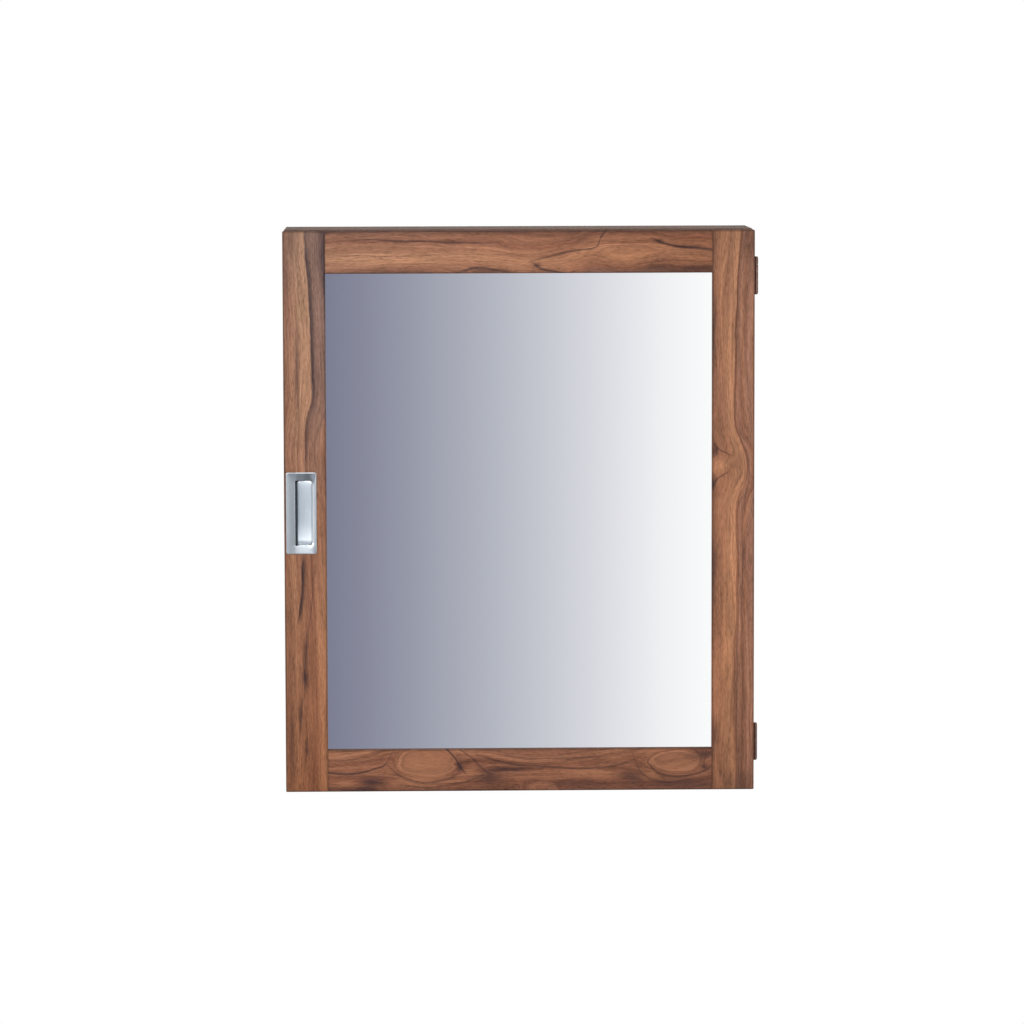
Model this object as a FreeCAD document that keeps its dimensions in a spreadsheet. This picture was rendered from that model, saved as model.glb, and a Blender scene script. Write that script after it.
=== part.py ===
"""Wall-hung mirror cabinet: a timber carcass with two loose shelves behind one framed mirror door.

Millimetres. The origin is the middle of the back, on the wall: +Z is up, +X is to the right as seen from
the room, and the door faces -Y. The door is drawn shut, and hangs on butt hinges at its right edge.
"""
import FreeCAD, Part
import os
import re

import Sketcher

SIZES = {
    # Overall sizes of the door and the carcass behind it
    "cabinet_width": 500,
    "cabinet_height": 600,
    "carcass_depth": 98,
    "door_gap": 2,
    "door_thickness": 20,
    "side_reveal": 1,
    "end_reveal": 1,
    "edge_round": 1.2,
    # Carcass boards, back panel and hanging rail
    "board": 18,
    "back_thickness": 5,
    "back_rebate": 9,
    "back_fit": 0.4,
    "rail_thickness": 16,
    "rail_height": 56,
    "wall_hole_spacing": 380,
    "wall_hole_radius": 3,
    # Dowels
    "dowel_radius": 4,
    "dowel_length": 38,
    "dowel_in_side": 12,
    "dowel_end_gap": 1,
    "dowel_fit": 0.05,
    "dowel_setback": 25,
    "rail_dowel_spacing": 26,
    # Shelves and their pins
    "shelf_thickness": 12,
    "shelf_setback": 14,
    "shelf_back_gap": 1,
    "shelf_side_gap": 1.5,
    "shelf_upper_base": 90,
    "shelf_lower_base": -102,
    "pin_radius": 2.5,
    "pin_depth": 9,
    "pin_fit": 0.05,
    "pin_collar_radius": 3.6,
    "pin_collar": 1.2,
    "pin_tongue_length": 10,
    "pin_tongue_width": 6,
    "pin_tongue": 2.2,
    "pin_pitch": 32,
    "pin_front_setback": 28,
    "pin_rear_setback": 20,
    # Screws, all countersunk
    "screw_radius": 1.4,
    "screw_head_radius": 2.7,
    "screw_fit": 0.05,
    "screw_tip": 2.5,
    "slot_reach": 1.6,
    "slot_width": 0.8,
    "slot_depth": 0.9,
    "back_screw_length": 18,
    "back_screw_pitch": 200,
    "hinge_screw_length": 13,
    "catch_screw_length": 12,
    "strike_screw_length": 12,
    # Door frame
    "member_width": 45,
    "sight_chamfer": 0.8,
    "glass_lip": 5,
    "glass_rebate": 8,
    "glass_fit": 0.5,
    "glass_thickness": 4,
    "backing_thickness": 4,
    "tenon_length": 20,
    "tenon_thickness": 8,
    "tenon_width": 26,
    "tenon_fit": 0.1,
    "bead_width": 7,
    "bead_chamfer": 2.5,
    "bead_pin_radius": 0.7,
    "bead_pin_length": 15,
    "bead_pin_fit": 0.05,
    "bead_pin_pitch": 160,
    # Butt hinges
    "hinge_height": 38,
    "hinge_end_distance": 30,
    "hinge_leaf_width": 17,
    "hinge_leaf": 1.2,
    "hinge_leaf_gap": 0.4,
    "hinge_leaf_round": 1.5,
    "hinge_fit": 0.1,
    "hinge_screw_pitch": 22,
    "hinge_screw_inset": 6.5,
    "knuckle_radius": 2.4,
    "knuckle_gap": 0.3,
    "hinge_pin_radius": 1.2,
    "hinge_pin_fit": 0.05,
    "hinge_pin_head": 1.1,
    "hinge_pin_head_radius": 2,
    # Flush pull
    "pull_width": 32.5,
    "pull_height": 87,
    "pull_corner": 2,
    "pull_edge_distance": 2,
    "pull_plate": 2.4,
    "pull_proud": 0.7,
    "pull_rim": 0.8,
    "pull_dish": 1,
    "pull_fit": 0.15,
    "pull_mouth_left": 9.6,
    "pull_mouth_right": 3.8,
    "pull_mouth_height": 70.6,
    "pull_mouth_corner": 5,
    "pull_wall": 1.6,
    "pull_mouth_bevel": 0.5,
    "pull_rim_depth": 2.8,
    "pull_grip_edge": 12.2,
    "pull_grip_depth": 6.8,
    "pull_grip_round": 0.8,
    "pull_grip_step": 1.2,
    "pull_gutter_depth": 8.6,
    "pull_undercut": 4.6,
    "pull_lip": 1.8,
    "pull_gutter_round": 2,
    "pull_floor_round": 1.2,
    "pull_boss_radius": 3.4,
    "pull_boss_inset": 5,
    "pull_boss_pitch": 44,
    "pull_screw_radius": 1.5,
    "pull_screw_head_radius": 2.8,
    "pull_screw_bite": 4.5,
    # Magnetic catch and bumpers
    "catch_from_side": 52,
    "catch_length": 46,
    "catch_body": 28,
    "catch_depth": 14,
    "catch_height": 13,
    "catch_ear": 2.5,
    "catch_round": 1,
    "catch_setback": 0.5,
    "magnet_length": 22,
    "magnet_height": 6,
    "magnet_depth": 9,
    "magnet_setback": 0.5,
    "pole_thickness": 1,
    "pole_reach": 1,
    "strike_length": 32,
    "strike_height": 12,
    "strike_gap": 0.3,
    "bumper_radius": 4,
    "bumper_tip_radius": 2.8,
    "bumper_gap": 0.3,
    "bumper_end_distance": 25,
}

# Planes and spans that follow from the sizes
PLANES = {
    "door_side": "cabinet_width / 2",
    "side_out": "door_side - side_reveal",
    "side_in": "side_out - board",
    "end_out": "cabinet_height / 2",
    "end_in": "end_out - board",
    "door_end": "end_out - end_reveal",
    "sight_x": "door_side - member_width",
    "sight_z": "door_end - member_width",
    "rebate_x": "sight_x + glass_rebate",
    "rebate_z": "sight_z + glass_rebate",
    "front": "-carcass_depth",
    "door_back": "front - door_gap",
    "door_front": "door_back - door_thickness",
    "glass_front": "door_front + glass_lip",
    "glass_back": "glass_front + glass_thickness",
    "backing_back": "glass_back + backing_thickness",
    "rail_back": "-back_thickness",
    "rail_front": "rail_back - rail_thickness",
    "rail_base": "end_in - rail_height",
    "dowel_tip": "side_in + dowel_in_side",
    "dowel_tail": "dowel_tip - dowel_length",
    "shelf_front": "front + shelf_setback",
    "shelf_back": "-back_thickness - shelf_back_gap",
    "shelf_side": "side_in - shelf_side_gap",
    "hinge_x": "door_side + knuckle_radius + knuckle_gap",
    "hinge_y": "front - door_gap / 2",
    "hinge_z": "door_end - hinge_end_distance - hinge_height / 2",
    "leaf_inner": "hinge_x - hinge_leaf_width",
    "leaf_outer": "hinge_x - knuckle_radius - knuckle_gap",
    "leaf_near": "hinge_leaf_gap / 2",
    "leaf_far": "leaf_near + hinge_leaf",
    "pull_left": "-door_side + pull_edge_distance",
    "pull_front": "door_front - pull_proud",
    "mouth_right": "pull_width - pull_mouth_right",
    "cup_bottom": "pull_gutter_depth + pull_wall",
    "boss_x": "mouth_right - pull_boss_inset",
    "catch_x": "-side_in + catch_from_side",
    "catch_front": "front + catch_setback",
    "catch_z": "end_in - catch_height / 2",
    "pole_front": "catch_front - pole_reach",
    "strike_front": "pole_front - strike_gap",
}

# How close to a plane, or to an axis direction, an edge has to be to count as lying on it
NEAR = 0.01
KNUCKLES = 5
CARCASS_KNUCKLES = (0, 2, 4)
DOOR_KNUCKLES = (1, 3)
BOTH_SIDES = (-1, 1)
TURNS = {
    "x": FreeCAD.Rotation(FreeCAD.Vector(0, 1, 0), 90),
    "y": FreeCAD.Rotation(FreeCAD.Vector(1, 0, 0), -90),
    "z": FreeCAD.Rotation(),
}

doc = FreeCAD.newDocument("mirror_cabinet")
sheet = doc.addObject("Spreadsheet::Sheet", "sizes")
for row, (alias, number) in enumerate(SIZES.items(), start=1):
    sheet.set(f"A{row}", alias)
    sheet.set(f"B{row}", str(number))
    sheet.setAlias(f"B{row}", alias)
doc.recompute()

nodes = []


# Building blocks, all sized and placed by formulas in the names above


def formula(text):
    """The sheet expression for a formula that uses the names of sizes and planes."""
    def replace(match):
        word = match[0]
        if word in PLANES:
            return f"({formula(PLANES[word])})"
        return f"sizes.{word}" if word in SIZES else word
    return re.sub(r"[a-z_]+", replace, text)


def value(text):
    """The number that a formula comes to."""
    return float(sheet.evalExpression(formula(text)))


def bind(item, **formulas):
    """Ties properties of an object to formulas."""
    for name, text in formulas.items():
        item.setExpression(name, formula(text))


def place(item, x="0", y="0", z="0"):
    """Ties an object's position to formulas."""
    for axis, text in zip("xyz", (x, y, z)):
        item.setExpression(f".Placement.Base.{axis}", formula(text))
    return item


def node(item, label):
    """Names a finished piece."""
    item.Label = label
    nodes.append(item)
    return item


def centred(half):
    """The span from minus to plus a half size."""
    return f"-({half})", half


def sided(sign, inner, outer):
    """A span on the positive side, or its mirror image on the negative side."""
    return (inner, outer) if sign > 0 else (f"-({outer})", f"-({inner})")


def slab(name, x, y, z):
    """A rectangular block between pairs of planes."""
    block = doc.addObject("Part::Box", name)
    for size, (low, high) in zip(("Length", "Width", "Height"), (x, y, z)):
        bind(block, **{size: f"({high}) - ({low})"})
    return place(block, x[0], y[0], z[0])


def turned(name, along, centre, stages):
    """A turned piece along an axis: each stage runs from start to end and has a radius at each."""
    pieces = []
    for count, (start, end, first, last) in enumerate(stages):
        label = f"{name}_stage{count}"
        if first == last:
            piece = doc.addObject("Part::Cylinder", label)
            bind(piece, Radius=first)
        else:
            piece = doc.addObject("Part::Cone", label)
            bind(piece, Radius1=first, Radius2=last)
        bind(piece, Height=f"({end}) - ({start})")
        piece.Placement = FreeCAD.Placement(FreeCAD.Vector(), TURNS[along])
        pieces.append(place(piece, **centre, **{along: start}))
    return joined(name, pieces)


def joined(name, pieces):
    """Several shapes made into one solid."""
    if len(pieces) == 1:
        return pieces[0]
    fuse = doc.addObject("Part::MultiFuse", name)
    fuse.Shapes = pieces
    fuse.Refine = True
    return fuse


def less(name, base, cutters):
    """A shape with others cut away from it."""
    cut = doc.addObject("Part::Cut", name)
    cut.Base = base
    cut.Tool = joined(f"{name}_cutters", cutters)
    return cut


def shared(name, first, second):
    """What two shapes have in common."""
    common = doc.addObject("Part::Common", name)
    common.Base = first
    common.Tool = second
    return common


def gathered(name, pieces):
    """Separate solids of one kind in one group."""
    group = doc.addObject("Part::Compound", name)
    group.Links = pieces
    return group


def runs_along(way, axis):
    """Whether a direction lies along an axis."""
    return abs(getattr(way, axis)) > 1 - NEAR


def lies_at(number, plane):
    """Whether a coordinate is that of a plane."""
    return abs(number - value(plane)) < NEAR


def eased(name, base, radius, chosen, kind="Part::Fillet"):
    """Rounds, or chamfers, the straight edges whose middle and direction are chosen."""
    doc.recompute()
    width = value(radius)
    edges = []
    for number, edge in enumerate(base.Shape.Edges, start=1):
        direction = edge.tangentAt(edge.FirstParameter)
        if isinstance(edge.Curve, Part.Line) and chosen(edge.CenterOfMass, direction):
            edges.append((number, width, width))
    item = doc.addObject(kind, name)
    item.Base = base
    item.Edges = edges
    return item


def outline(name, points):
    """A closed straight-sided sketch through points given as pairs of formulas."""
    sketch = doc.addObject("Sketcher::SketchObject", name)
    count = len(points)
    ring = [FreeCAD.Rotation(360 * k / count, 0, 0).multVec(FreeCAD.Vector(1, 0, 0)) for k in range(count)]
    for k in range(count):
        sketch.addGeometry(Part.LineSegment(ring[k], ring[(k + 1) % count]))
    for k in range(count):
        sketch.addConstraint(Sketcher.Constraint("Coincident", k, 2, (k + 1) % count, 1))
    for k, pair in enumerate(points):
        for kind, text in zip(("DistanceX", "DistanceY"), pair):
            index = sketch.addConstraint(Sketcher.Constraint(kind, -1, 1, k, 1, 1.0))
            sketch.renameConstraint(index, f"{kind}{k}")
            sketch.setExpression(f"Constraints.{kind}{k}", formula(text))
    return sketch


def prism(name, points, length, turn=None):
    """A sketched outline drawn out to a length, evenly to both sides of its plane."""
    sketch = outline(f"{name}_outline", points)
    if turn:
        sketch.Placement = FreeCAD.Placement(FreeCAD.Vector(), turn)
    extrusion = doc.addObject("Part::Extrusion", name)
    extrusion.Base = sketch
    extrusion.DirMode = "Normal"
    extrusion.Solid = True
    extrusion.Symmetric = True
    bind(extrusion, LengthFwd=length)
    return extrusion


def screw(name, along, centre, head, sign, length, fit="0"):
    """A countersunk wood screw whose head lies at a plane and which runs in one direction from there.

    With a fit it is the hole for such a screw, that much larger all round.
    """
    far = f"{head} {'+' if sign > 0 else '-'}"
    shank = f"screw_radius + {fit}"
    wide = f"screw_head_radius + {fit}"
    neck = f"{far} (screw_head_radius - screw_radius)"
    shoulder = f"{far} ({length} - screw_tip)"
    point = f"{far} ({length} + {fit})"
    stages = [
        (head, neck, wide, shank),
        (neck, shoulder, shank, shank),
        (shoulder, point, shank, "screw_radius / 4"),
    ]
    if sign < 0:
        stages = [(end, start, last, first) for start, end, first, last in stages]
    return turned(name, along, centre, stages)


def crossed(blank, along, centre, head, sign):
    """A screw with two crossed slots for the driver in its head."""
    depth = (head, f"{head} + slot_depth") if sign > 0 else (f"{head} - slot_depth", head)
    slots = []
    for longer in centre:
        spans = {along: depth}
        for axis, middle in centre.items():
            half = "slot_reach" if axis == longer else "slot_width / 2"
            spans[axis] = (f"{middle} - {half}", f"{middle} + {half}")
        slots.append(slab(f"{blank.Name}_slot_{longer}", spans["x"], spans["y"], spans["z"]))
    return less(f"{blank.Name}_crossed", blank, slots)


def screws(label, along, heads, plane, sign, length):
    """A group of like screws at points, and the holes to cut for them."""
    pieces = []
    holes = []
    for count, centre in enumerate(heads):
        blank = screw(f"{label}_{count}", along, centre, plane, sign, length)
        pieces.append(crossed(blank, along, centre, plane, sign))
        holes.append(screw(f"{label}_{count}_hole", along, centre, plane, sign, length, "screw_fit"))
    node(gathered(label, pieces), label)
    return holes


# Carcass


def dowel_places():
    """Where dowels lie at each side: the ends of the top and bottom boards and of the hanging rail."""
    corner = "end_in + board / 2"
    places = []
    for y in ("front + dowel_setback", "-dowel_setback"):
        for z in (corner, f"-({corner})"):
            places.append({"y": y, "z": z})
    for step in BOTH_SIDES:
        height = f"rail_base + rail_height / 2 + {step} * rail_dowel_spacing / 2"
        places.append({"y": "rail_back - rail_thickness / 2", "z": height})
    return places


def make_dowels():
    """All dowels as one group, and the holes for them."""
    dowels = []
    holes = []
    for sign in BOTH_SIDES:
        for count, centre in enumerate(dowel_places()):
            name = f"dowel_{'right' if sign > 0 else 'left'}_{count}"
            low, high = sided(sign, "dowel_tail", "dowel_tip")
            dowels.append(turned(name, "x", centre, [(low, high, "dowel_radius", "dowel_radius")]))
            low, high = sided(sign, "dowel_tail - dowel_end_gap", "dowel_tip + dowel_end_gap")
            bore = "dowel_radius + dowel_fit"
            holes.append(turned(f"{name}_hole", "x", centre, [(low, high, bore, bore)]))
    node(gathered("carcass_dowels", dowels), "carcass_dowels")
    return holes


def pin_axis(base, step=0):
    """Height of a shelf pin's axis for a shelf that rests at a height, or some pitches away from it."""
    return f"{base} - pin_tongue / 2 + {step} * pin_pitch"


def pin_hole_cutters(sign):
    """Columns of shelf-pin holes in one side: three heights for each shelf, front and rear."""
    bore = "pin_radius + pin_fit"
    cutters = []
    for base in ("shelf_upper_base", "shelf_lower_base"):
        for step in (-1, 0, 1):
            for y in ("front + pin_front_setback", "-pin_rear_setback"):
                span = sided(sign, "side_in - pin_collar", "side_in + pin_depth + pin_collar")
                centre = {"y": y, "z": pin_axis(base, step)}
                name = f"pin_hole_{sign}_{len(cutters)}"
                cutters.append(turned(name, "x", centre, [(*span, bore, bore)]))
    return cutters


def make_shelf_pins():
    """Eight spoon pins: a stem in the side, a collar against it and a flat tongue under the shelf."""
    pins = []
    for sign in BOTH_SIDES:
        for base in ("shelf_upper_base", "shelf_lower_base"):
            for y in ("front + pin_front_setback", "-pin_rear_setback"):
                name = f"shelf_pin_{len(pins)}"
                centre = {"y": y, "z": pin_axis(base)}
                stem = sided(sign, "side_in", "side_in + pin_depth")
                collar = sided(sign, "side_in - pin_collar", "side_in")
                stages = [
                    (*stem, "pin_radius", "pin_radius"),
                    (*collar, "pin_collar_radius", "pin_collar_radius"),
                ]
                tongue = slab(
                    f"{name}_tongue",
                    sided(sign, "side_in - pin_tongue_length", "side_in - pin_collar / 2"),
                    (f"{y} - pin_tongue_width / 2", f"{y} + pin_tongue_width / 2"),
                    (f"{base} - pin_tongue", base),
                )
                pins.append(joined(name, [turned(f"{name}_stem", "x", centre, stages), tongue]))
    node(gathered("shelf_pins", pins), "shelf_pins")


def at_front_end(at, way):
    """The front edges along the top and the bottom of the carcass."""
    return lies_at(at.y, "front") and lies_at(abs(at.z), "end_out")


def make_sides(dowel_holes, back_holes, hinge_holes):
    """Side boards, rebated for the back panel; the right one is let in for the hinge leaves."""
    for sign, label in ((-1, "side_left"), (1, "side_right")):
        width = sided(sign, "side_in", "side_out")
        board = slab(f"{label}_board", width, ("front", "0"), centred("end_out"))
        outer = f"{sign} * (side_out)"
        outside = lambda at, way: lies_at(at.x, outer) and at.y < -NEAR or at_front_end(at, way)
        rounded = eased(f"{label}_rounded", board, "edge_round", outside)
        rebate = slab(
            f"{label}_rebate",
            sided(sign, "side_in - board", "side_in + back_rebate"),
            ("-back_thickness", "back_thickness"),
            centred("end_in + back_rebate"),
        )
        cutters = [rebate] + dowel_holes + back_holes + pin_hole_cutters(sign)
        if sign > 0:
            cutters += [leaf_recess("carcass", "upper"), leaf_recess("carcass", "lower")] + hinge_holes
        node(less(f"{label}_cut", rounded, cutters), label)


def make_ends(dowel_holes, back_holes, catch_holes):
    """Top and bottom boards between the sides."""
    for sign, label in ((1, "top_panel"), (-1, "bottom_panel")):
        board = slab(f"{label}_board", centred("side_in"), ("front", "0"), sided(sign, "end_in", "end_out"))
        rounded = eased(f"{label}_rounded", board, "edge_round", at_front_end)
        rebate = slab(
            f"{label}_rebate",
            centred("side_out"),
            ("-back_thickness", "back_thickness"),
            sided(sign, "end_in - board", "end_in + back_rebate"),
        )
        cutters = [rebate] + dowel_holes + back_holes
        node(less(f"{label}_cut", rounded, cutters + (catch_holes if sign > 0 else [])), label)


def wall_holes():
    """The two holes for wall screws, through the hanging rail and the back panel."""
    holes = []
    for sign in BOTH_SIDES:
        centre = {"x": f"{sign} * wall_hole_spacing / 2", "z": "rail_base + rail_height / 2"}
        stage = ("rail_front - back_thickness", "back_thickness", "wall_hole_radius", "wall_hole_radius")
        holes.append(turned(f"wall_hole_{sign}", "y", centre, [stage]))
    return holes


def back_screw_places():
    """Round the back panel: three screws along each side, two along the top and the bottom."""
    side = "side_in + back_rebate / 2"
    end = "end_in + back_rebate / 2"
    places = []
    for sign in BOTH_SIDES:
        for step in (-1, 0, 1):
            places.append({"x": f"{sign} * ({side})", "z": f"{step} * back_screw_pitch"})
        for step in BOTH_SIDES:
            places.append({"x": f"{step} * back_screw_pitch / 2", "z": f"{sign} * ({end})"})
    return places


def make_back(back_holes, holes_in_wall, dowel_holes):
    """Back panel and the hanging rail in front of it."""
    panel = slab(
        "back_panel_sheet",
        centred("side_in + back_rebate - back_fit"),
        ("-back_thickness", "0"),
        centred("end_in + back_rebate - back_fit"),
    )
    node(less("back_panel_cut", panel, back_holes + holes_in_wall), "back_panel")
    depth = ("rail_front", "rail_back")
    rail = slab("hanging_rail_bar", centred("side_in"), depth, ("rail_base", "end_in"))
    rounded = eased("hanging_rail_rounded", rail, "edge_round", rail_front_edge)
    node(less("hanging_rail_cut", rounded, holes_in_wall + dowel_holes), "hanging_rail")


def rail_front_edge(at, way):
    """The lower front edge of the hanging rail."""
    return runs_along(way, "x") and lies_at(at.y, "rail_front") and lies_at(at.z, "rail_base")


def make_shelves():
    """Loose shelves with a rounded front edge."""
    for label, base in (("shelf_upper", "shelf_upper_base"), ("shelf_lower", "shelf_lower_base")):
        height = (base, f"{base} + shelf_thickness")
        board = slab(f"{label}_board", centred("shelf_side"), ("shelf_front", "shelf_back"), height)
        front_edges = lambda at, way: lies_at(at.y, "shelf_front")
        node(eased(f"{label}_rounded", board, "edge_round", front_edges), label)


# Butt hinges


def hinge_height(which, offset="0"):
    """A height on one of the two hinges, measured from its middle."""
    return f"hinge_z + {offset}" if which == "upper" else f"-(hinge_z) + {offset}"


def leaf_span(part):
    """Front-to-back span of a leaf: the carcass leaf is behind the hinge axis, the door leaf before it."""
    if part == "carcass":
        return "hinge_y + leaf_near", "hinge_y + leaf_far"
    return "hinge_y - leaf_far", "hinge_y - leaf_near"


def leaf_recess(part, which):
    """The shallow recess that a leaf is let into."""
    half = "(hinge_height / 2 + hinge_fit)"
    return slab(
        f"hinge_{which}_{part}_recess",
        ("leaf_inner - hinge_fit", "hinge_x"),
        leaf_span(part),
        (hinge_height(which, f"-{half}"), hinge_height(which, half)),
    )


def leaf_screw_places():
    """Two screws in each of the two leaves on one part."""
    x = "leaf_inner + hinge_screw_inset"
    places = []
    for which in ("upper", "lower"):
        for sign in BOTH_SIDES:
            places.append({"x": x, "z": hinge_height(which, f"{sign} * hinge_screw_pitch / 2")})
    return places


def knuckle_span(which, index):
    """Height span of one of the interleaved knuckles."""
    length = f"((hinge_height - {KNUCKLES - 1} * knuckle_gap) / {KNUCKLES})"
    base = f"-hinge_height / 2 + {index} * ({length} + knuckle_gap)"
    return hinge_height(which, f"({base})"), hinge_height(which, f"({base} + {length})")


def make_leaf(part, which, own, holes):
    """A hinge leaf: a flat plate with rounded inner corners and rolled knuckles along its outer edge."""
    label = f"hinge_{which}_{part}_leaf"
    half = "hinge_height / 2"
    plate = slab(
        f"{label}_plate",
        ("leaf_inner", "leaf_outer"),
        leaf_span(part),
        (hinge_height(which, f"-{half}"), hinge_height(which, half)),
    )
    corners = lambda at, way: runs_along(way, "y") and lies_at(at.x, "leaf_inner")
    pieces = [eased(f"{label}_rounded", plate, "hinge_leaf_round", corners)]
    centre = {"x": "hinge_x", "y": "hinge_y"}
    for index in own:
        name = f"{label}_knuckle{index}"
        span = knuckle_span(which, index)
        pieces.append(slab(f"{name}_root", ("leaf_outer - hinge_leaf", "hinge_x"), leaf_span(part), span))
        pieces.append(turned(name, "z", centre, [(*span, "knuckle_radius", "knuckle_radius")]))
    bore = "hinge_pin_radius + hinge_pin_fit"
    ends = (hinge_height(which, "-hinge_height"), hinge_height(which, "hinge_height"))
    cutters = [turned(f"{label}_bore", "z", centre, [(*ends, bore, bore)])] + holes
    node(less(f"{label}_cut", joined(f"{label}_solid", pieces), cutters), label)


def make_hinge_pin(which):
    """A pin through all knuckles, with a low domed head at each end."""
    label = f"hinge_{which}_pin"
    centre = {"x": "hinge_x", "y": "hinge_y"}
    low = hinge_height(which, "-hinge_height / 2")
    high = hinge_height(which, "hinge_height / 2")
    wide = "hinge_pin_head_radius"
    narrow = f"{wide} - hinge_pin_head / 2"
    base = f"{low} - knuckle_gap / 2"
    top = f"{high} + knuckle_gap / 2"
    stages = [
        (f"{base} - hinge_pin_head", f"{base} - hinge_pin_head / 2", narrow, wide),
        (f"{base} - hinge_pin_head / 2", base, wide, wide),
        (base, top, "hinge_pin_radius", "hinge_pin_radius"),
        (top, f"{top} + hinge_pin_head / 2", wide, wide),
        (f"{top} + hinge_pin_head / 2", f"{top} + hinge_pin_head", wide, narrow),
    ]
    node(turned(label, "z", centre, stages), label)


def make_hinges():
    """Both hinges; returns the screw holes in the carcass and in the door."""
    places = leaf_screw_places()
    face = "hinge_y + leaf_near"
    carcass_holes = screws("carcass_hinge_screws", "y", places, face, 1, "hinge_screw_length")
    face = "hinge_y - leaf_near"
    door_holes = screws("door_hinge_screws", "y", places, face, -1, "hinge_screw_length")
    for which in ("upper", "lower"):
        make_leaf("carcass", which, CARCASS_KNUCKLES, carcass_holes)
        make_leaf("door", which, DOOR_KNUCKLES, door_holes)
        make_hinge_pin(which)
    return carcass_holes, door_holes


# Door frame, mirror and beads


def bead_pin_lines():
    """The pins that hold the beads: axis, direction and centre of each."""
    middle = {"y": "(backing_back + door_back) / 2"}
    lines = []
    for sign in BOTH_SIDES:
        for step in (-1, 0, 1):
            lines.append(("x", sign, {**middle, "z": f"{step} * bead_pin_pitch"}))
        for step in BOTH_SIDES:
            lines.append(("z", sign, {**middle, "x": f"{step} * bead_pin_pitch / 2"}))
    return lines


def make_bead_pins():
    """All bead pins as one group, and the holes for them."""
    pins = []
    holes = []
    for count, (along, sign, centre) in enumerate(bead_pin_lines()):
        wall = "rebate_x" if along == "x" else "rebate_z"
        start = f"{wall} - bead_width"
        end = f"{start} + bead_pin_length"
        radius = "bead_pin_radius"
        span = sided(sign, start, end)
        pins.append(turned(f"bead_pin_{count}", along, centre, [(*span, radius, radius)]))
        bore = "bead_pin_radius + bead_pin_fit"
        span = sided(sign, f"{start} - bead_width", f"{end} + bead_pin_radius")
        holes.append(turned(f"bead_pin_{count}_hole", along, centre, [(*span, bore, bore)]))
    node(gathered("bead_pins", pins), "bead_pins")
    return holes


def tenon(name, sign, grow="0"):
    """The stub tenons at both ends of a rail, or with a fit the mortises for them."""
    middle = "(door_front + door_back) / 2"
    half = f"(tenon_thickness / 2 + {grow})"
    centre = "(rebate_z + door_end) / 2"
    tall = f"(tenon_width / 2 + {grow})"
    return slab(
        name,
        centred(f"sight_x + tenon_length + {grow}"),
        (f"{middle} - {half}", f"{middle} + {half}"),
        sided(sign, f"{centre} - {tall}", f"{centre} + {tall}"),
    )


def glass_rebate_cutter():
    """The rebate behind the sight opening that takes mirror, backing and beads."""
    return slab("glass_rebate_cutter", centred("rebate_x"), ("glass_front", "front"), centred("rebate_z"))


def sight_chamfer_cutter():
    """The small mitred chamfer round the sight opening."""
    cutter = doc.addObject("Part::Wedge", "sight_chamfer_cutter")
    bind(cutter, Ymin="door_front", Ymax="door_front + sight_chamfer")
    for axis in "xz":
        wide = f"(sight_{axis} + sight_chamfer)"
        letter = axis.upper()
        bind(cutter, **{f"{letter}min": f"-{wide}", f"{letter}max": wide})
        bind(cutter, **{f"{letter}2min": f"-sight_{axis}", f"{letter}2max": f"sight_{axis}"})
    return cutter


def make_frame(pin_holes, hinge_holes, strike_holes, pull_cutters):
    """Stiles over the full height, and rails with stub tenons between them."""
    rebate = glass_rebate_cutter()
    chamfer = sight_chamfer_cutter()
    mortises = [tenon(f"mortise_{sign}", sign, "tenon_fit") for sign in BOTH_SIDES]
    on_edge = lambda at, way: lies_at(abs(at.x), "door_side")
    on_end = lambda at, way: lies_at(abs(at.z), "door_end")
    on_front = lambda at, way: lies_at(at.y, "door_front")
    thick = ("door_front", "door_back")
    recesses = [leaf_recess("door", "upper"), leaf_recess("door", "lower")]
    for sign, label, own in ((-1, "stile_left", pull_cutters), (1, "stile_right", hinge_holes + recesses)):
        bar = slab(f"{label}_bar", sided(sign, "sight_x", "door_side"), thick, centred("door_end"))
        outside = lambda at, way: on_edge(at, way) or on_front(at, way) and on_end(at, way)
        rounded = eased(f"{label}_rounded", bar, "edge_round", outside)
        node(less(f"{label}_cut", rounded, [rebate, chamfer] + mortises + pin_holes + own), label)
    for sign, label, own in ((1, "rail_top", strike_holes), (-1, "rail_bottom", [])):
        bar = slab(f"{label}_bar", centred("sight_x"), thick, sided(sign, "sight_z", "door_end"))
        outside = lambda at, way: runs_along(way, "x") and on_front(at, way) and on_end(at, way)
        rounded = eased(f"{label}_rounded", bar, "edge_round", outside)
        solid = joined(f"{label}_solid", [rounded, tenon(f"{label}_tenon", sign)])
        node(less(f"{label}_cut", solid, [rebate, chamfer] + pin_holes + own), label)


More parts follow.
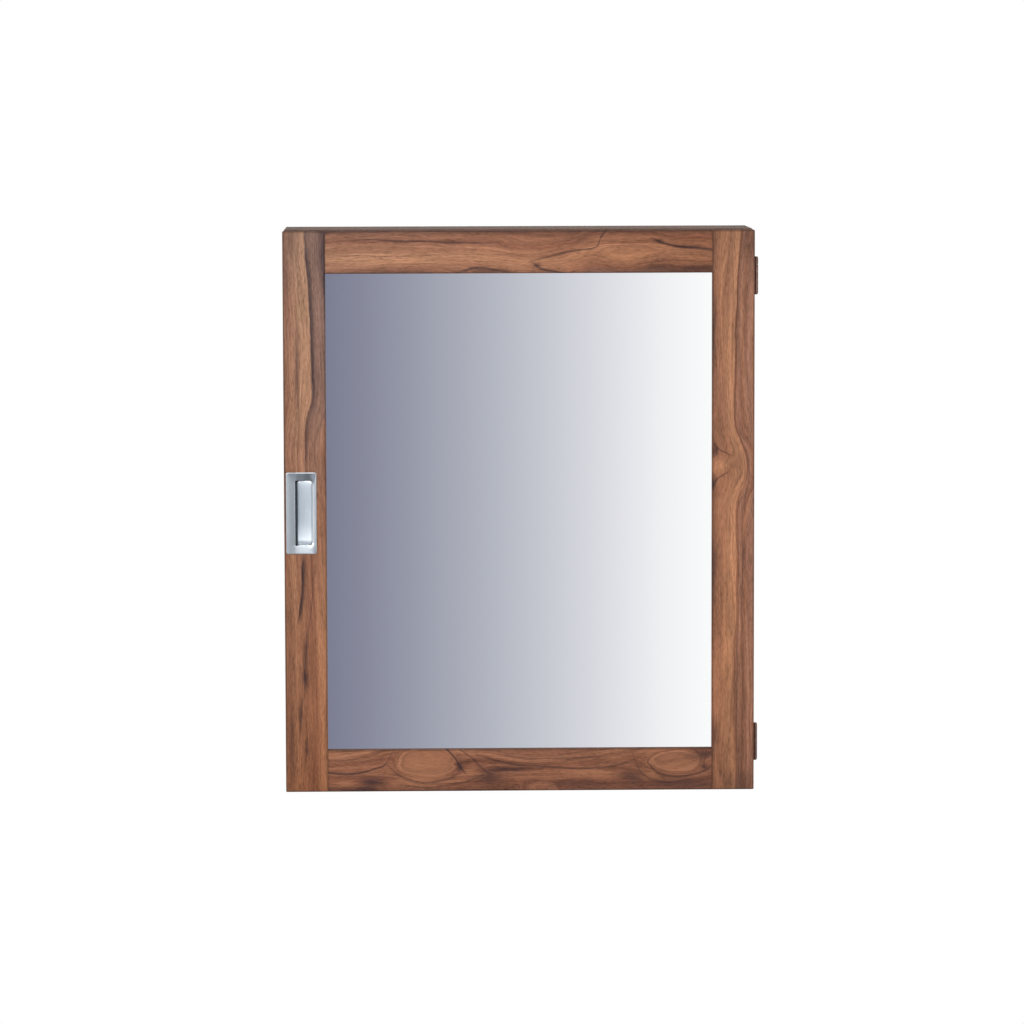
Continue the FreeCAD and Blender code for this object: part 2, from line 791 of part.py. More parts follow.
def make_glazing(pin_holes):
    """Mirror pane, backing panel and four mitred beads, one behind the other in the rebate."""
    pane = (centred("rebate_x - glass_fit"), centred("rebate_z - glass_fit"))
    node(slab("mirror_sheet", pane[0], ("glass_front", "glass_back"), pane[1]), "mirror_pane")
    node(slab("backing_sheet", pane[0], ("glass_back", "backing_back"), pane[1]), "mirror_backing")
    inner_x, inner_z = "(rebate_x - bead_width)", "(rebate_z - bead_width)"
    outer_x, outer_z = "(rebate_x)", "(rebate_z)"
    beads = {}
    for sign, label in ((1, "bead_top"), (-1, "bead_bottom")):
        near, far = f"{sign} * {inner_z}", f"{sign} * {outer_z}"
        beads[label] = [(f"-{inner_x}", near), (inner_x, near), (outer_x, far), (f"-{outer_x}", far)]
    for sign, label in ((1, "bead_right"), (-1, "bead_left")):
        near, far = f"{sign} * {inner_x}", f"{sign} * {outer_x}"
        beads[label] = [(near, f"-{inner_z}"), (near, inner_z), (far, outer_z), (far, f"-{outer_z}")]
    upright = FreeCAD.Rotation(FreeCAD.Vector(1, 0, 0), 90)
    inmost = lambda at: lies_at(abs(at.x), inner_x) or lies_at(abs(at.z), inner_z)
    sight_edge = lambda at, way: lies_at(at.y, "door_back") and inmost(at)
    for label, points in beads.items():
        strip = prism(f"{label}_strip", points, "door_back - (backing_back)", upright)
        place(strip.Base, y="(backing_back + door_back) / 2")
        chamfered = eased(f"{label}_chamfered", strip, "bead_chamfer", sight_edge, "Part::Chamfer")
        node(less(f"{label}_cut", chamfered, pin_holes), label)


# Flush pull: a cast plate with a dished border and a finger cup that runs back under its left lip


def on_pull(item):
    """Puts a shape drawn from the plate's left edge, front face and mid height where the pull sits."""
    return place(item, "pull_left", "pull_front")


def pull_scoop():
    """The finger space: a ramp down from the right rim, then a step into a gutter under the left lip."""
    section = prism("pull_scoop_section", [
        ("pull_mouth_left", "-pull_plate"),
        ("pull_mouth_left", "pull_lip"),
        ("pull_undercut", "pull_lip"),
        ("pull_undercut", "pull_gutter_depth"),
        ("pull_grip_edge - pull_grip_step", "pull_gutter_depth"),
        ("pull_grip_edge", "pull_grip_depth"),
        ("mouth_right", "pull_rim_depth"),
        ("mouth_right", "-pull_plate"),
    ], "pull_mouth_height")
    on_pull(section.Base)
    gutter = lambda at, way: runs_along(way, "z") and lies_at(at.y, "pull_front + pull_gutter_depth")
    hollowed = eased("pull_scoop_hollowed", section, "pull_gutter_round", gutter)
    grip = lambda at, way: runs_along(way, "z") and lies_at(at.y, "pull_front + pull_grip_depth")
    rounded = eased("pull_scoop_rounded", hollowed, "pull_grip_round", grip)
    plan = pull_mouth("pull_mouth_plan", "0", "cup_bottom")
    foot = lambda at, way: runs_along(way, "z") and lies_at(at.y, "pull_front + pull_rim_depth")
    return eased("pull_scoop_footed", shared("pull_scoop", rounded, plan), "pull_floor_round", foot)


def pull_mouth(name, left, depth, grow="0"):
    """A block of the mouth's height down to a depth, rounded at its right corners."""
    right = f"pull_left + mouth_right + {grow}"
    block = slab(
        name,
        (f"pull_left + {left} - {grow}", right),
        ("pull_front - pull_plate", f"pull_front + {depth}"),
        centred(f"pull_mouth_height / 2 + {grow}"),
    )
    corners = lambda at, way: runs_along(way, "y") and lies_at(at.x, right)
    return eased(f"{name}_rounded", block, f"pull_mouth_corner + {grow}", corners)


def pull_bevel():
    """The bevel round the mouth, drawn wide enough to run out through the dished border."""
    depth = "pull_dish + pull_mouth_bevel"
    wide = "2 * pull_mouth_bevel"
    block = pull_mouth("pull_bevel_block", "pull_mouth_left", depth, wide)
    lower = lambda at, way: lies_at(at.y, f"pull_front + {depth}")
    return eased("pull_bevel", block, wide, lower, "Part::Chamfer")


def pull_dish():
    """The border slopes down from a narrow rim to the mouth on all four sides."""
    dish = doc.addObject("Part::Wedge", "pull_dish")
    half = "(pull_height / 2 - pull_rim)"
    mouth = "pull_mouth_height / 2"
    bind(
        dish,
        Xmin="pull_rim", Xmax="pull_width - pull_rim", X2min="pull_mouth_left", X2max="mouth_right",
        Zmin=f"-{half}", Zmax=half, Z2min=f"-{mouth}", Z2max=mouth,
        Ymin="0", Ymax="pull_dish",
    )
    return on_pull(dish)


def pull_plate(name, grow, depth):
    """The plate's outline with rounded corners, or with a fit the recess for it."""
    half = f"(pull_height / 2 + {grow})"
    block = slab(name, (f"-{grow}", f"pull_width + {grow}"), ("0", depth), centred(half))
    place(block, f"pull_left - {grow}", "pull_front", f"-{half}")
    return eased(f"{name}_rounded", block, "pull_corner", lambda at, way: runs_along(way, "y"))


def make_pull():
    """The casting and its screws; returns what has to be cut from the stile for them."""
    wall_x = "pull_undercut - pull_wall"
    tall = "pull_mouth_height + 2 * pull_wall"
    plate = pull_plate("pull_plate_solid", "0", "pull_plate")
    cup = prism("pull_cup", [
        (wall_x, "pull_plate / 2"),
        (wall_x, "cup_bottom"),
        ("pull_grip_edge", "cup_bottom"),
        ("mouth_right + pull_wall", "pull_rim_depth + pull_wall"),
        ("mouth_right + pull_wall", "pull_plate / 2"),
    ], tall)
    on_pull(cup.Base)
    centres = []
    for sign in BOTH_SIDES:
        centres.append({"x": "pull_left + boss_x", "z": f"{sign} * pull_boss_pitch / 2"})
    boss_end = "pull_front + cup_bottom"
    bosses = []
    pieces = []
    holes = []
    radius = "pull_screw_radius"
    head = "pull_screw_head_radius"
    start = f"{boss_end} - pull_screw_bite"
    neck = f"door_back - ({head} - {radius})"
    for count, centre in enumerate(centres):
        stage = ("pull_front + pull_plate / 2", boss_end, "pull_boss_radius", "pull_boss_radius")
        bosses.append(turned(f"pull_boss_{count}", "y", centre, [stage]))
        stages = [(start, neck, radius, radius), (neck, "door_back", radius, head)]
        blank = turned(f"pull_screw_{count}", "y", centre, stages)
        pieces.append(crossed(blank, "y", centre, "door_back", -1))
        bore = f"{radius} + screw_fit"
        wide = f"{head} + screw_fit"
        stages = [(f"{start} - screw_fit", neck, bore, bore), (neck, "door_back", bore, wide)]
        holes.append(turned(f"pull_screw_{count}_hole", "y", centre, stages))
    node(gathered("pull_screws", pieces), "pull_screws")
    solid = joined("pull_solid", [plate, cup] + bosses)
    node(less("pull_cut", solid, [pull_scoop(), pull_bevel(), pull_dish()] + holes), "flush_pull")
    recess = pull_plate("pull_recess", "pull_fit", "pull_plate")
    grow = "pull_fit"
    pocket = slab(
        "pull_pocket",
        (f"pull_left + {wall_x} - {grow}", f"pull_left + mouth_right + pull_wall + {grow}"),
        ("pull_front", f"pull_front + cup_bottom + {grow}"),
        centred(f"({tall}) / 2 + {grow}"),
    )
    return [recess, pocket] + holes


# Magnetic catch, its strike and the bumpers


def make_catch():
    """Catch under the top board: returns the screw holes for the top board and for the top rail."""
    about = lambda size: (f"catch_x - {size} / 2", f"catch_x + {size} / 2")
    ears = []
    for sign in BOTH_SIDES:
        x = f"catch_x + {sign} * (catch_length + catch_body) / 4"
        ears.append({"x": x, "y": "catch_front + catch_depth / 2"})
    holes = screws("catch_screws", "z", ears, "end_in - catch_ear", 1, "catch_screw_length")
    along = ("catch_front", "catch_front + catch_depth")
    ear = slab("catch_ears", about("catch_length"), along, ("end_in - catch_ear", "end_in"))
    body = slab("catch_block", about("catch_body"), along, ("end_in - catch_height", "end_in"))
    lower = lambda at, way: lies_at(at.z, "end_in - catch_height")
    block = eased("catch_rounded", body, "catch_round", lower)
    wide = about("magnet_length")
    magnet_y = ("catch_front + magnet_setback", "catch_front + magnet_setback + magnet_depth")
    pole_y = ("pole_front", magnet_y[1])
    high = "magnet_height / 2"
    pole = "(magnet_height / 2 + pole_thickness)"
    chamber = slab(
        "catch_chamber", wide, ("pole_front", magnet_y[1]), (f"catch_z - {pole}", f"catch_z + {pole}")
    )
    node(less("catch_cut", joined("catch_solid", [ear, block]), [chamber] + holes), "catch_housing")
    node(slab("magnet_block", wide, magnet_y, (f"catch_z - {high}", f"catch_z + {high}")), "catch_magnet")
    poles = [
        slab("pole_upper", wide, pole_y, (f"catch_z + {high}", f"catch_z + {pole}")),
        slab("pole_lower", wide, pole_y, (f"catch_z - {pole}", f"catch_z - {high}")),
    ]
    node(gathered("catch_pole_plates", poles), "catch_pole_plates")
    centre = [{"x": "catch_x", "z": "catch_z"}]
    strike_holes = screws("strike_screw", "y", centre, "strike_front", -1, "strike_screw_length")
    tall = ("catch_z - strike_height / 2", "catch_z + strike_height / 2")
    strike = slab("strike_blank", about("strike_length"), ("door_back", "strike_front"), tall)
    node(less("strike_cut", strike, strike_holes), "strike_plate")
    return holes, strike_holes


def make_bumpers():
    """Two soft dots on the back of the pull stile, which meet the side board's front edge."""
    dots = []
    for sign in BOTH_SIDES:
        centre = {"x": "-(side_in + board / 2)", "z": f"{sign} * (door_end - bumper_end_distance)"}
        waist = "door_back + (door_gap - bumper_gap) / 2"
        tip = "door_back + door_gap - bumper_gap"
        stages = [
            ("door_back", waist, "bumper_radius", "bumper_radius"),
            (waist, tip, "bumper_radius", "bumper_tip_radius"),
        ]
        dots.append(turned(f"bumper_{sign}", "y", centre, stages))
    node(gathered("bumper_dots", dots), "bumper_dots")


def check():
    """Stops before anything is written if a feature failed or a piece is not a sound solid."""
    for item in doc.Objects:
        if "Invalid" in item.State or "Error" in item.State:
            raise RuntimeError(f"{item.Name} failed: {item.State}")
    for item in nodes:
        shape = item.Shape
        if shape.isNull() or not shape.isValid() or not shape.Solids:
            raise RuntimeError(f"{item.Label} is not a sound solid")


def main():
    """Builds every piece and writes one file for each."""
    dowel_holes = make_dowels()
    make_shelf_pins()
    back_holes = screws("back_panel_screws", "y", back_screw_places(), "0", -1, "back_screw_length")
    carcass_hinge_holes, door_hinge_holes = make_hinges()
    catch_holes, strike_holes = make_catch()
    make_sides(dowel_holes, back_holes, carcass_hinge_holes)
    make_ends(dowel_holes, back_holes, catch_holes)
    make_back(back_holes, wall_holes(), dowel_holes)
    make_shelves()
    pin_holes = make_bead_pins()
    make_frame(pin_holes, door_hinge_holes, strike_holes, make_pull())
    make_glazing(pin_holes)
    make_bumpers()
    doc.recompute()
    check()
    os.makedirs("parts", exist_ok=True)
    for item in nodes:
        item.Shape.exportStep(f"parts/{item.Label}.step")
        print(item.Label, len(item.Shape.Solids), round(item.Shape.Volume, 1))


main()
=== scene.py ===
"""Looks of a wall-hung mirror cabinet: figured hardwood, silvered glass, satin nickel and aged bronze.

Metres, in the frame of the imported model: the origin is the middle of the back on the wall plane, +Z is up,
+X is to the right as seen from the room, and the door faces -Y. Wood and pull are written in millimetres.
"""

import math
from collections import namedtuple

import bmesh
import bpy
from mathutils import Matrix, Vector


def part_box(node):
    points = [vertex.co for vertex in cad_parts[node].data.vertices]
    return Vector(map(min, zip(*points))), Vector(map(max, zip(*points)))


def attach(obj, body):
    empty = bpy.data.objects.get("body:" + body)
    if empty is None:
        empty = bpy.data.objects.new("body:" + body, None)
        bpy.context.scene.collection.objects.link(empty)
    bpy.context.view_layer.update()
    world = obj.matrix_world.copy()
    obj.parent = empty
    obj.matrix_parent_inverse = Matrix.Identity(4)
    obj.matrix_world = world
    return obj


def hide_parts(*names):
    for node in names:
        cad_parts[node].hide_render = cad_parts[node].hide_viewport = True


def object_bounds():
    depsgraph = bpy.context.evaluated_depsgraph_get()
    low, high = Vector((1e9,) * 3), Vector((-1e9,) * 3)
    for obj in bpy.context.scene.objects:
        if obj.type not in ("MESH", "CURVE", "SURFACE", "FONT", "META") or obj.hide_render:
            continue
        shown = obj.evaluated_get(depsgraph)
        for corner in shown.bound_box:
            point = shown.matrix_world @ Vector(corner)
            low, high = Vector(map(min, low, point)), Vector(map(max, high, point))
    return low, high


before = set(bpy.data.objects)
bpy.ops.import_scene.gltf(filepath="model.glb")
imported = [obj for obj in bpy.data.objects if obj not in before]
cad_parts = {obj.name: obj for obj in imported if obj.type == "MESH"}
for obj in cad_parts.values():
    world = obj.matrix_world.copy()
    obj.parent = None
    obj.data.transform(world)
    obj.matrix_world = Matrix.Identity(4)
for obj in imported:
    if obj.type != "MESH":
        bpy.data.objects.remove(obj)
cad_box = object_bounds()
scene = bpy.context.scene

MILLIMETRES = 1000


def srgb(red, green, blue):
    """A colour given as a screen shows it, 0 to 255, as linear light."""
    def linear(value):
        value /= 255
        return value / 12.92 if value <= 0.04045 else ((value + 0.055) / 1.055) ** 2.4
    return linear(red), linear(green), linear(blue), 1.0


# Shader graphs


class Graph:
    """A node tree of a material or a world, with a short call for each kind of node used here."""

    def __init__(self, owner):
        self.owner = owner
        owner.use_nodes = True
        self.tree = owner.node_tree
        self.tree.nodes.clear()

    def node(self, kind, **settings):
        """A new node of that kind."""
        made = self.tree.nodes.new("ShaderNode" + kind)
        for name, value in settings.items():
            setattr(made, name, value)
        return made

    def feed(self, socket, value):
        """Links a socket to another, or sets it to a plain value."""
        if isinstance(value, bpy.types.NodeSocket):
            self.tree.links.new(value, socket)
        else:
            socket.default_value = value

    def feed_all(self, sockets, values):
        """Feeds sockets in their order."""
        for socket, value in zip(sockets, values):
            self.feed(socket, value)

    def coordinate(self, kind):
        """The place (Object) or the facing (Normal) of a point of the piece."""
        return self.node("TexCoord").outputs[kind]

    def math(self, operation, *values, clamp=False):
        """One step of arithmetic."""
        made = self.node("Math", operation=operation, use_clamp=clamp)
        self.feed_all(made.inputs, values)
        return made.outputs[0]

    def times(self, value, factor, *plus):
        """A value times a factor, plus another value if there is one."""
        return self.math("MULTIPLY_ADD" if plus else "MULTIPLY", value, factor, *plus)

    def vector(self, operation, *values):
        """One step of vector arithmetic."""
        made = self.node("VectorMath", operation=operation)
        self.feed_all(made.inputs, values)
        return made.outputs["Value" if operation == "DOT_PRODUCT" else "Vector"]

    def scaled(self, vector, scale):
        """A vector times a number."""
        made = self.node("VectorMath", operation="SCALE")
        self.feed(made.inputs[0], vector)
        self.feed(made.inputs["Scale"], scale)
        return made.outputs["Vector"]

    def parts(self, vector):
        """The three parts of a vector, in order or by letter."""
        made = self.node("SeparateXYZ")
        self.feed(made.inputs[0], vector)
        return made.outputs

    def joined(self, *values):
        """A vector from its parts."""
        made = self.node("CombineXYZ")
        self.feed_all(made.inputs, values)
        return made.outputs[0]

    def spread(self, value, low, high, to_low=0.0, to_high=1.0, smooth=False):
        """A value's place between low and high, clamped."""
        kind = "SMOOTHSTEP" if smooth else "LINEAR"
        made = self.node("MapRange", interpolation_type=kind, clamp=True)
        self.feed_all(made.inputs, (value, low, high, to_low, to_high))
        return made.outputs["Result"]

    def noise(self, value, detail=3.0, roughness=0.5, socket="Vector"):
        """Smooth noise, about 0 to 1, of a place or, by the socket W, of one number."""
        made = self.node("TexNoise", noise_dimensions="3D" if socket == "Vector" else "1D")
        for name, number in ((socket, value), ("Scale", 1.0), ("Detail", detail), ("Roughness", roughness)):
            self.feed(made.inputs[name], number)
        return made.outputs["Fac"]

    def ramp(self, value, stops, kind="EASE"):
        """A run of colours over a value from 0 to 1."""
        made = self.node("ValToRGB")
        made.color_ramp.interpolation = kind
        elements = made.color_ramp.elements
        while len(elements) < len(stops):
            elements.new(1.0)
        for element, (place, colour) in zip(elements, stops):
            element.position = place
            element.color = colour
        self.feed(made.inputs["Fac"], value)
        return made.outputs["Color"]

    def mix(self, share, first, second, blend="MIX"):
        """Two colours mixed."""
        made = self.node("Mix", data_type="RGBA", blend_type=blend)
        self.feed(made.inputs[0], share)
        self.feed_all(made.inputs[6:8], (first, second))
        return made.outputs[2]

    def curve(self, value, line):
        """The height of a smooth line at a place. The line is a mapping from places to heights."""
        first, last = min(line), max(line)
        low, high = min(line.values()), max(line.values())
        if low == high:
            return low
        made = self.node("FloatCurve")
        points = made.mapping.curves[0].points
        while len(points) < len(line):
            points.new(0.5, 0.5)
        for point, place in zip(points, sorted(line)):
            point.location = ((place - first) / (last - first), (line[place] - low) / (high - low))
        made.mapping.update()
        self.feed(made.inputs["Value"], self.spread(value, first, last))
        return self.times(made.outputs[0], high - low, low)

    def relief(self, height, depth):
        """A normal turned by bumps of that depth in metres."""
        made = self.node("Bump")
        self.feed(made.inputs["Height"], height)
        self.feed(made.inputs["Distance"], depth)
        return made.outputs["Normal"]

    def shader(self, kind, **values):
        """A shader of that kind, its sockets named with underscores."""
        made = self.node(kind)
        for name, value in values.items():
            self.feed(made.inputs[name.replace("_", " ")], value)
        return made.outputs[0]

    def blend(self, share, first, second):
        """Two shaders mixed."""
        made = self.node("MixShader")
        self.feed_all(made.inputs, (share, first, second))
        return made.outputs[0]

    def finish(self, shader, kind="OutputMaterial"):
        """Ends the tree with a shader."""
        self.feed(self.node(kind).inputs["Surface"], shader)
        return self.owner

    def principled(self, **values):
        """Ends the tree with the standard shader."""
        return self.finish(self.shader("BsdfPrincipled", **values))


def material_graph(name):
    """The empty node tree of a new material."""
    return Graph(bpy.data.materials.new(name))


# Wood

AMBER = srgb(186, 134, 101)
TAN = srgb(170, 119, 90)
BROWN = srgb(150, 103, 79)
RUSSET = srgb(135, 88, 67)
MAUVE = srgb(128, 96, 84)
ROSE = srgb(158, 115, 95)
UMBER = srgb(104, 69, 55)
SLATE = srgb(84, 64, 61)
INK = srgb(48, 39, 45)
DUSK = srgb(72, 51, 50)
HONEY = srgb(194, 139, 102)

# A dark line in the wood: places along and across, width (the sign says which side is soft) and strength
Vein = namedtuple("Vein", "line width dark")
# An oval hump in the growth rings: place, half sizes, height, how flat its top is and how smooth its wood
Swell = namedtuple("Swell", "along across long wide rise flat calm", defaults=(1.7, 0.0))
# A soft patch: place, half sizes and strength, above nought for a light patch and below it for a dark one
Patch = namedtuple("Patch", "along across long wide tone")
# A board's figure: colours over the height in the growth rings, the line where that height is nought, how
# far the grain follows that line, rows of humps, dark lines and patches, how far the colours rule over
# plain rings along the board, rise of the rings across it, ring width, tone along it, which is partly
# painted shade at the door's top edge and lower down, and tint at both ends
Figure = namedtuple(
    "Figure", "ground guide flow swells veins patches share slope pitch shade tint",
    defaults=({}, 1.0, (), (), (), {0: 0.6}, 1.0, 6.5, {}, ((1, 1, 1), (1, 1, 1))),
)
# Noise drawn out along the grain: step of its seed, length and width of its marks, detail and roughness
Noise = namedtuple("Noise", "step long wide detail roughness", defaults=(2.0, 0.5))

WOBBLE = Noise(0, 60, 14, 3.0)
BENDING = Noise(1, 240, 34)
STREAKS = Noise(2, 90, 2.3, 3.0, 0.6)
FIBRES = Noise(3, 24, 1.2)
CLOUDS = Noise(4, 90, 16)
PORES = Noise(5, 7, 0.6, 1.0)
GRIT = Noise(6, 6, 1.1, 1.0)
DRIFT = Noise(8, 40, 20)
SEED_STEP = (7.31, 3.17, 5.73)
# How strongly streaks, fibres, grit and clouds show both ways, and pores, which only darken
STRENGTHS = (0.85, 0.8, 0.7, 0.7, -0.3)
# The noise at which a pore opens and at which it is full
PORE_LEVELS = (0.6, 0.7)
# How far the grain wanders along and across the board, and in ring widths
WANDER = (26, 7)
RING_WANDER = 4.0
# Growth rings: rise through the board, noise over them, its range and its colours, and the fibres' spacing
RING_TILT = 0.5
RING_SEED = 17.3
RING_NOISE = (4.0, 0.6)
RING_RANGE = (0.25, 0.75)
RING_COLOURS = (
    (0.0, SLATE), (0.2, UMBER), (0.38, RUSSET), (0.58, BROWN), (0.8, TAN), (1.0, AMBER),
)
FIBRE_PITCH = 6.5
# Dark lines: half the width of the crisp side, and the share of the length over which an end fades
VEIN_EDGE = 1.0
VEIN_FADE = 0.22
# Edges darkened partly by wear and partly by painted shade: how far the darkening reaches in and where it is
# full, and its tone
ARRIS_REACH = 2.4
ARRIS_CORE = 0.5
ARRIS_WEAR_AND_SHADE = 0.56
# How squarely a face looks along an axis from which it starts to count and from which it fully counts
FACING = (0.6, 0.9)
END_GRAIN_TONE = 0.7
# Upper faces: how far painted shade covers them, and its colour on the cabinet, where it is also a grey
# painted sheen, and on the door
UPPER_SHADE_SHARE = 0.8
UPPER_SHEEN_AND_SHADE = srgb(92, 82, 77)
DOOR_UPPER_SHADE = srgb(62, 44, 38)
# Sheen of faces and of cut ones or upper faces with painted shade, roughness and its rise on fibres and
# pores, and depth of relief
SHEEN = (0.14, 0.03)
WOOD_ROUGHNESS = 0.46
FIBRE_ROUGHNESS = 0.16
PORE_ROUGHNESS = 0.2
FIBRE_RELIEF = 0.35
WOOD_RELIEF = 0.00012


def oval(graph, place, form, flat=1.0):
    """One in the middle of an oval, falling smoothly to nought outside it."""
    size = (1 / form.long, 1 / form.wide, 0)
    shift = (-form.along / form.long, -form.across / form.wide, 0)
    local = graph.vector("MULTIPLY_ADD", place, size, shift)
    reach = graph.vector("DOT_PRODUCT", local, local)
    if flat != 1.0:
        reach = graph.math("POWER", reach, flat)
    return graph.math("EXPONENT", graph.times(reach, -1.0))


def vein_mask(graph, along, across, vein):
    """A dark line with one crisp side and one soft side, fading at both ends."""
    first, last = min(vein.line), max(vein.line)
    fade = (last - first) * VEIN_FADE
    off = graph.math("SUBTRACT", across, graph.curve(along, vein.line))
    if vein.width < 0:
        off = graph.times(off, -1.0)
    rise = graph.spread(off, -VEIN_EDGE, VEIN_EDGE, smooth=True)
    fall = graph.spread(off, abs(vein.width), 0.0, smooth=True)
    start = graph.spread(along, first, first + fade, smooth=True)
    stop = graph.spread(along, last, last - fade, smooth=True)
    body = graph.times(rise, fall)
    window = graph.times(start, stop)
    return graph.times(graph.times(body, window), vein.dark)


class Board:
    """A board's shader, with places in millimetres along, across and through the board."""

    def __init__(self, name, along, across, seed, figure, box):
        self.graph = graph = material_graph("wood_" + name)
        self.seed = seed
        self.figure = figure
        axes = (along, across, *(set("xyz") - {along, across}))
        self.low, self.high = (
            Vector([MILLIMETRES * getattr(corner, axis) for axis in axes]) for corner in box
        )
        parts = graph.parts(graph.coordinate("Object"))
        self.place = graph.scaled(graph.joined(*(parts[axis.upper()] for axis in axes)), MILLIMETRES)
        self.along, straight, depth = graph.parts(self.place)
        self.depth = graph.math("SUBTRACT", depth, self.low.z)
        self.across = graph.times(self.swing(WOBBLE), WANDER[1], straight)
        drifted = graph.times(self.swing(DRIFT), WANDER[0], self.along)
        self.drifted = graph.joined(drifted, self.across)
        facing = graph.parts(graph.coordinate("Normal"))
        self.end_grain = graph.math("ABSOLUTE", facing[along.upper()])
        self.upper = graph.spread(facing["Z"], *FACING)

    def noise(self, kind, place=None):
        """Noise drawn out along the grain."""
        size = (1 / kind.long, 1 / kind.wide, 1 / kind.wide)
        shift = tuple((self.seed + kind.step) * step for step in SEED_STEP)
        place = self.graph.vector("MULTIPLY_ADD", self.place if place is None else place, size, shift)
        return self.graph.noise(place, kind.detail, kind.roughness)

    def swing(self, kind):
        """Noise to both sides of nought."""
        return self.graph.math("SUBTRACT", self.noise(kind), 0.5)

    def growth(self):
        """Height in the growth rings, the rings counted across the grain, and how smooth the wood is."""
        graph, figure = self.graph, self.figure
        rise = calm = 0.0
        for row in figure.swells:
            swell = Swell(*row)
            hump = oval(graph, self.drifted, swell, swell.flat)
            rise = graph.times(hump, swell.rise, rise)
            calm = graph.times(hump, swell.calm, calm)
        flat = graph.times(self.depth, RING_TILT, self.across)
        bend = graph.curve(self.along, figure.guide) if figure.guide else 0.0
        height = graph.times(graph.math("SUBTRACT", flat, bend), figure.slope, rise)
        followed = graph.times(bend, -figure.flow, flat)
        grain = graph.times(followed, figure.slope, rise)
        grain = graph.times(self.swing(BENDING), RING_WANDER * figure.pitch, grain)
        return height, graph.times(grain, 1 / figure.pitch), calm

    def colour(self, height, rings):
        """Colour of the rings, with the ground colours, patches and dark lines laid over them."""
        graph, figure = self.graph, self.figure
        band = graph.noise(graph.math("ADD", rings, self.seed * RING_SEED), *RING_NOISE, "W")
        colour = graph.ramp(graph.spread(band, *RING_RANGE), RING_COLOURS)
        first, last = min(figure.ground), max(figure.ground)
        stops = [((at - first) / (last - first), shade) for at, shade in figure.ground.items()]
        painted = graph.ramp(graph.spread(height, first, last), stops)
        colour = graph.mix(graph.curve(self.along, figure.share), colour, painted)
        tone = 0.0
        for row in figure.patches:
            patch = Patch(*row)
            tone = graph.times(oval(graph, self.drifted, patch), patch.tone, tone)
        for sign, shade in ((1.0, HONEY), (-1.0, DUSK)):
            colour = graph.mix(graph.math("MULTIPLY", tone, sign, clamp=True), colour, shade)
        for row in figure.veins:
            colour = graph.mix(vein_mask(graph, self.along, self.across, Vein(*row)), colour, INK)
        return colour

    def marks(self, rings):
        """Fine marks: how far they lighten the wood, its fibres and its pores."""
        graph = self.graph
        lines = graph.joined(self.along, graph.times(rings, FIBRE_PITCH), self.depth)
        fibre = self.noise(FIBRES, lines)
        pores = graph.spread(self.noise(PORES), *PORE_LEVELS)
        marks = (self.noise(STREAKS, lines), fibre, self.noise(GRIT), self.noise(CLOUDS), pores)
        light = -sum(STRENGTHS[:-1]) / 2
        for mark, strength in zip(marks, STRENGTHS):
            light = graph.times(mark, strength, light)
        return light, fibre, pores

    def arris(self):
        """One on the edges, which are darkened by wear and by painted shade, and nought on the faces."""
        graph = self.graph
        off = graph.vector("SUBTRACT", self.place, tuple((self.low + self.high) / 2))
        inside = graph.vector("SUBTRACT", tuple((self.high - self.low) / 2), graph.vector("ABSOLUTE", off))
        dx, dy, dz = graph.parts(inside)
        total = graph.math("ADD", graph.math("ADD", dx, dy), dz)
        deepest = graph.math("MAXIMUM", graph.math("MAXIMUM", dx, dy), dz)
        edge = graph.math("SUBTRACT", total, deepest)
        return graph.spread(edge, ARRIS_REACH, ARRIS_CORE, smooth=True)


def wood(name, along, across, seed, figure, tone=1.0, box=None, upper_shade=None):
    """Oiled hardwood: growth rings, streaks, fibres and open pores, edges darkened by wear and painted
    shade, and painted shade on upper faces.
    """
    board = Board(name, along, across, seed, figure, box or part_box(name))
    graph = board.graph
    height, rings, calm = board.growth()
    colour = board.colour(height, rings)
    marks, fibre, pores = board.marks(rings)
    light = graph.times(marks, graph.math("SUBTRACT", 1.0, calm), 1.0)
    for change in (
        # Tone along the board, partly painted shade at the door's top edge and lower down
        graph.curve(board.along, figure.shade) if figure.shade else tone,
        graph.spread(board.end_grain, *FACING, 1.0, END_GRAIN_TONE),
        # Edges darkened partly by wear and partly by painted shade
        graph.spread(board.arris(), 0, 1, 1.0, ARRIS_WEAR_AND_SHADE),
    ):
        light = graph.times(light, change)
    ends = [(*tint, 1) for tint in figure.tint]
    tint = graph.mix(graph.spread(board.along, board.low.x, board.high.x), *ends)
    colour = graph.mix(1.0, graph.scaled(colour, light), tint, "MULTIPLY")
    # Upper faces painted darker as shade where the light from the front misses them; on the cabinet this
    # colour is also a grey painted sheen
    if upper_shade:
        colour = graph.mix(graph.times(board.upper, UPPER_SHADE_SHARE), colour, upper_shade)
    rough = graph.times(fibre, FIBRE_ROUGHNESS, WOOD_ROUGHNESS)
    bumps = graph.times(pores, -1.0, graph.times(fibre, FIBRE_RELIEF))
    return graph.principled(
        Base_Color=colour,
        Roughness=graph.times(pores, PORE_ROUGHNESS, rough),
        Specular_IOR_Level=graph.spread(board.upper if upper_shade else board.end_grain, *FACING, *SHEEN),
        Normal=graph.relief(bumps, WOOD_RELIEF),
    )


# Figure of the door's members, in millimetres in the frame, and of plain boards

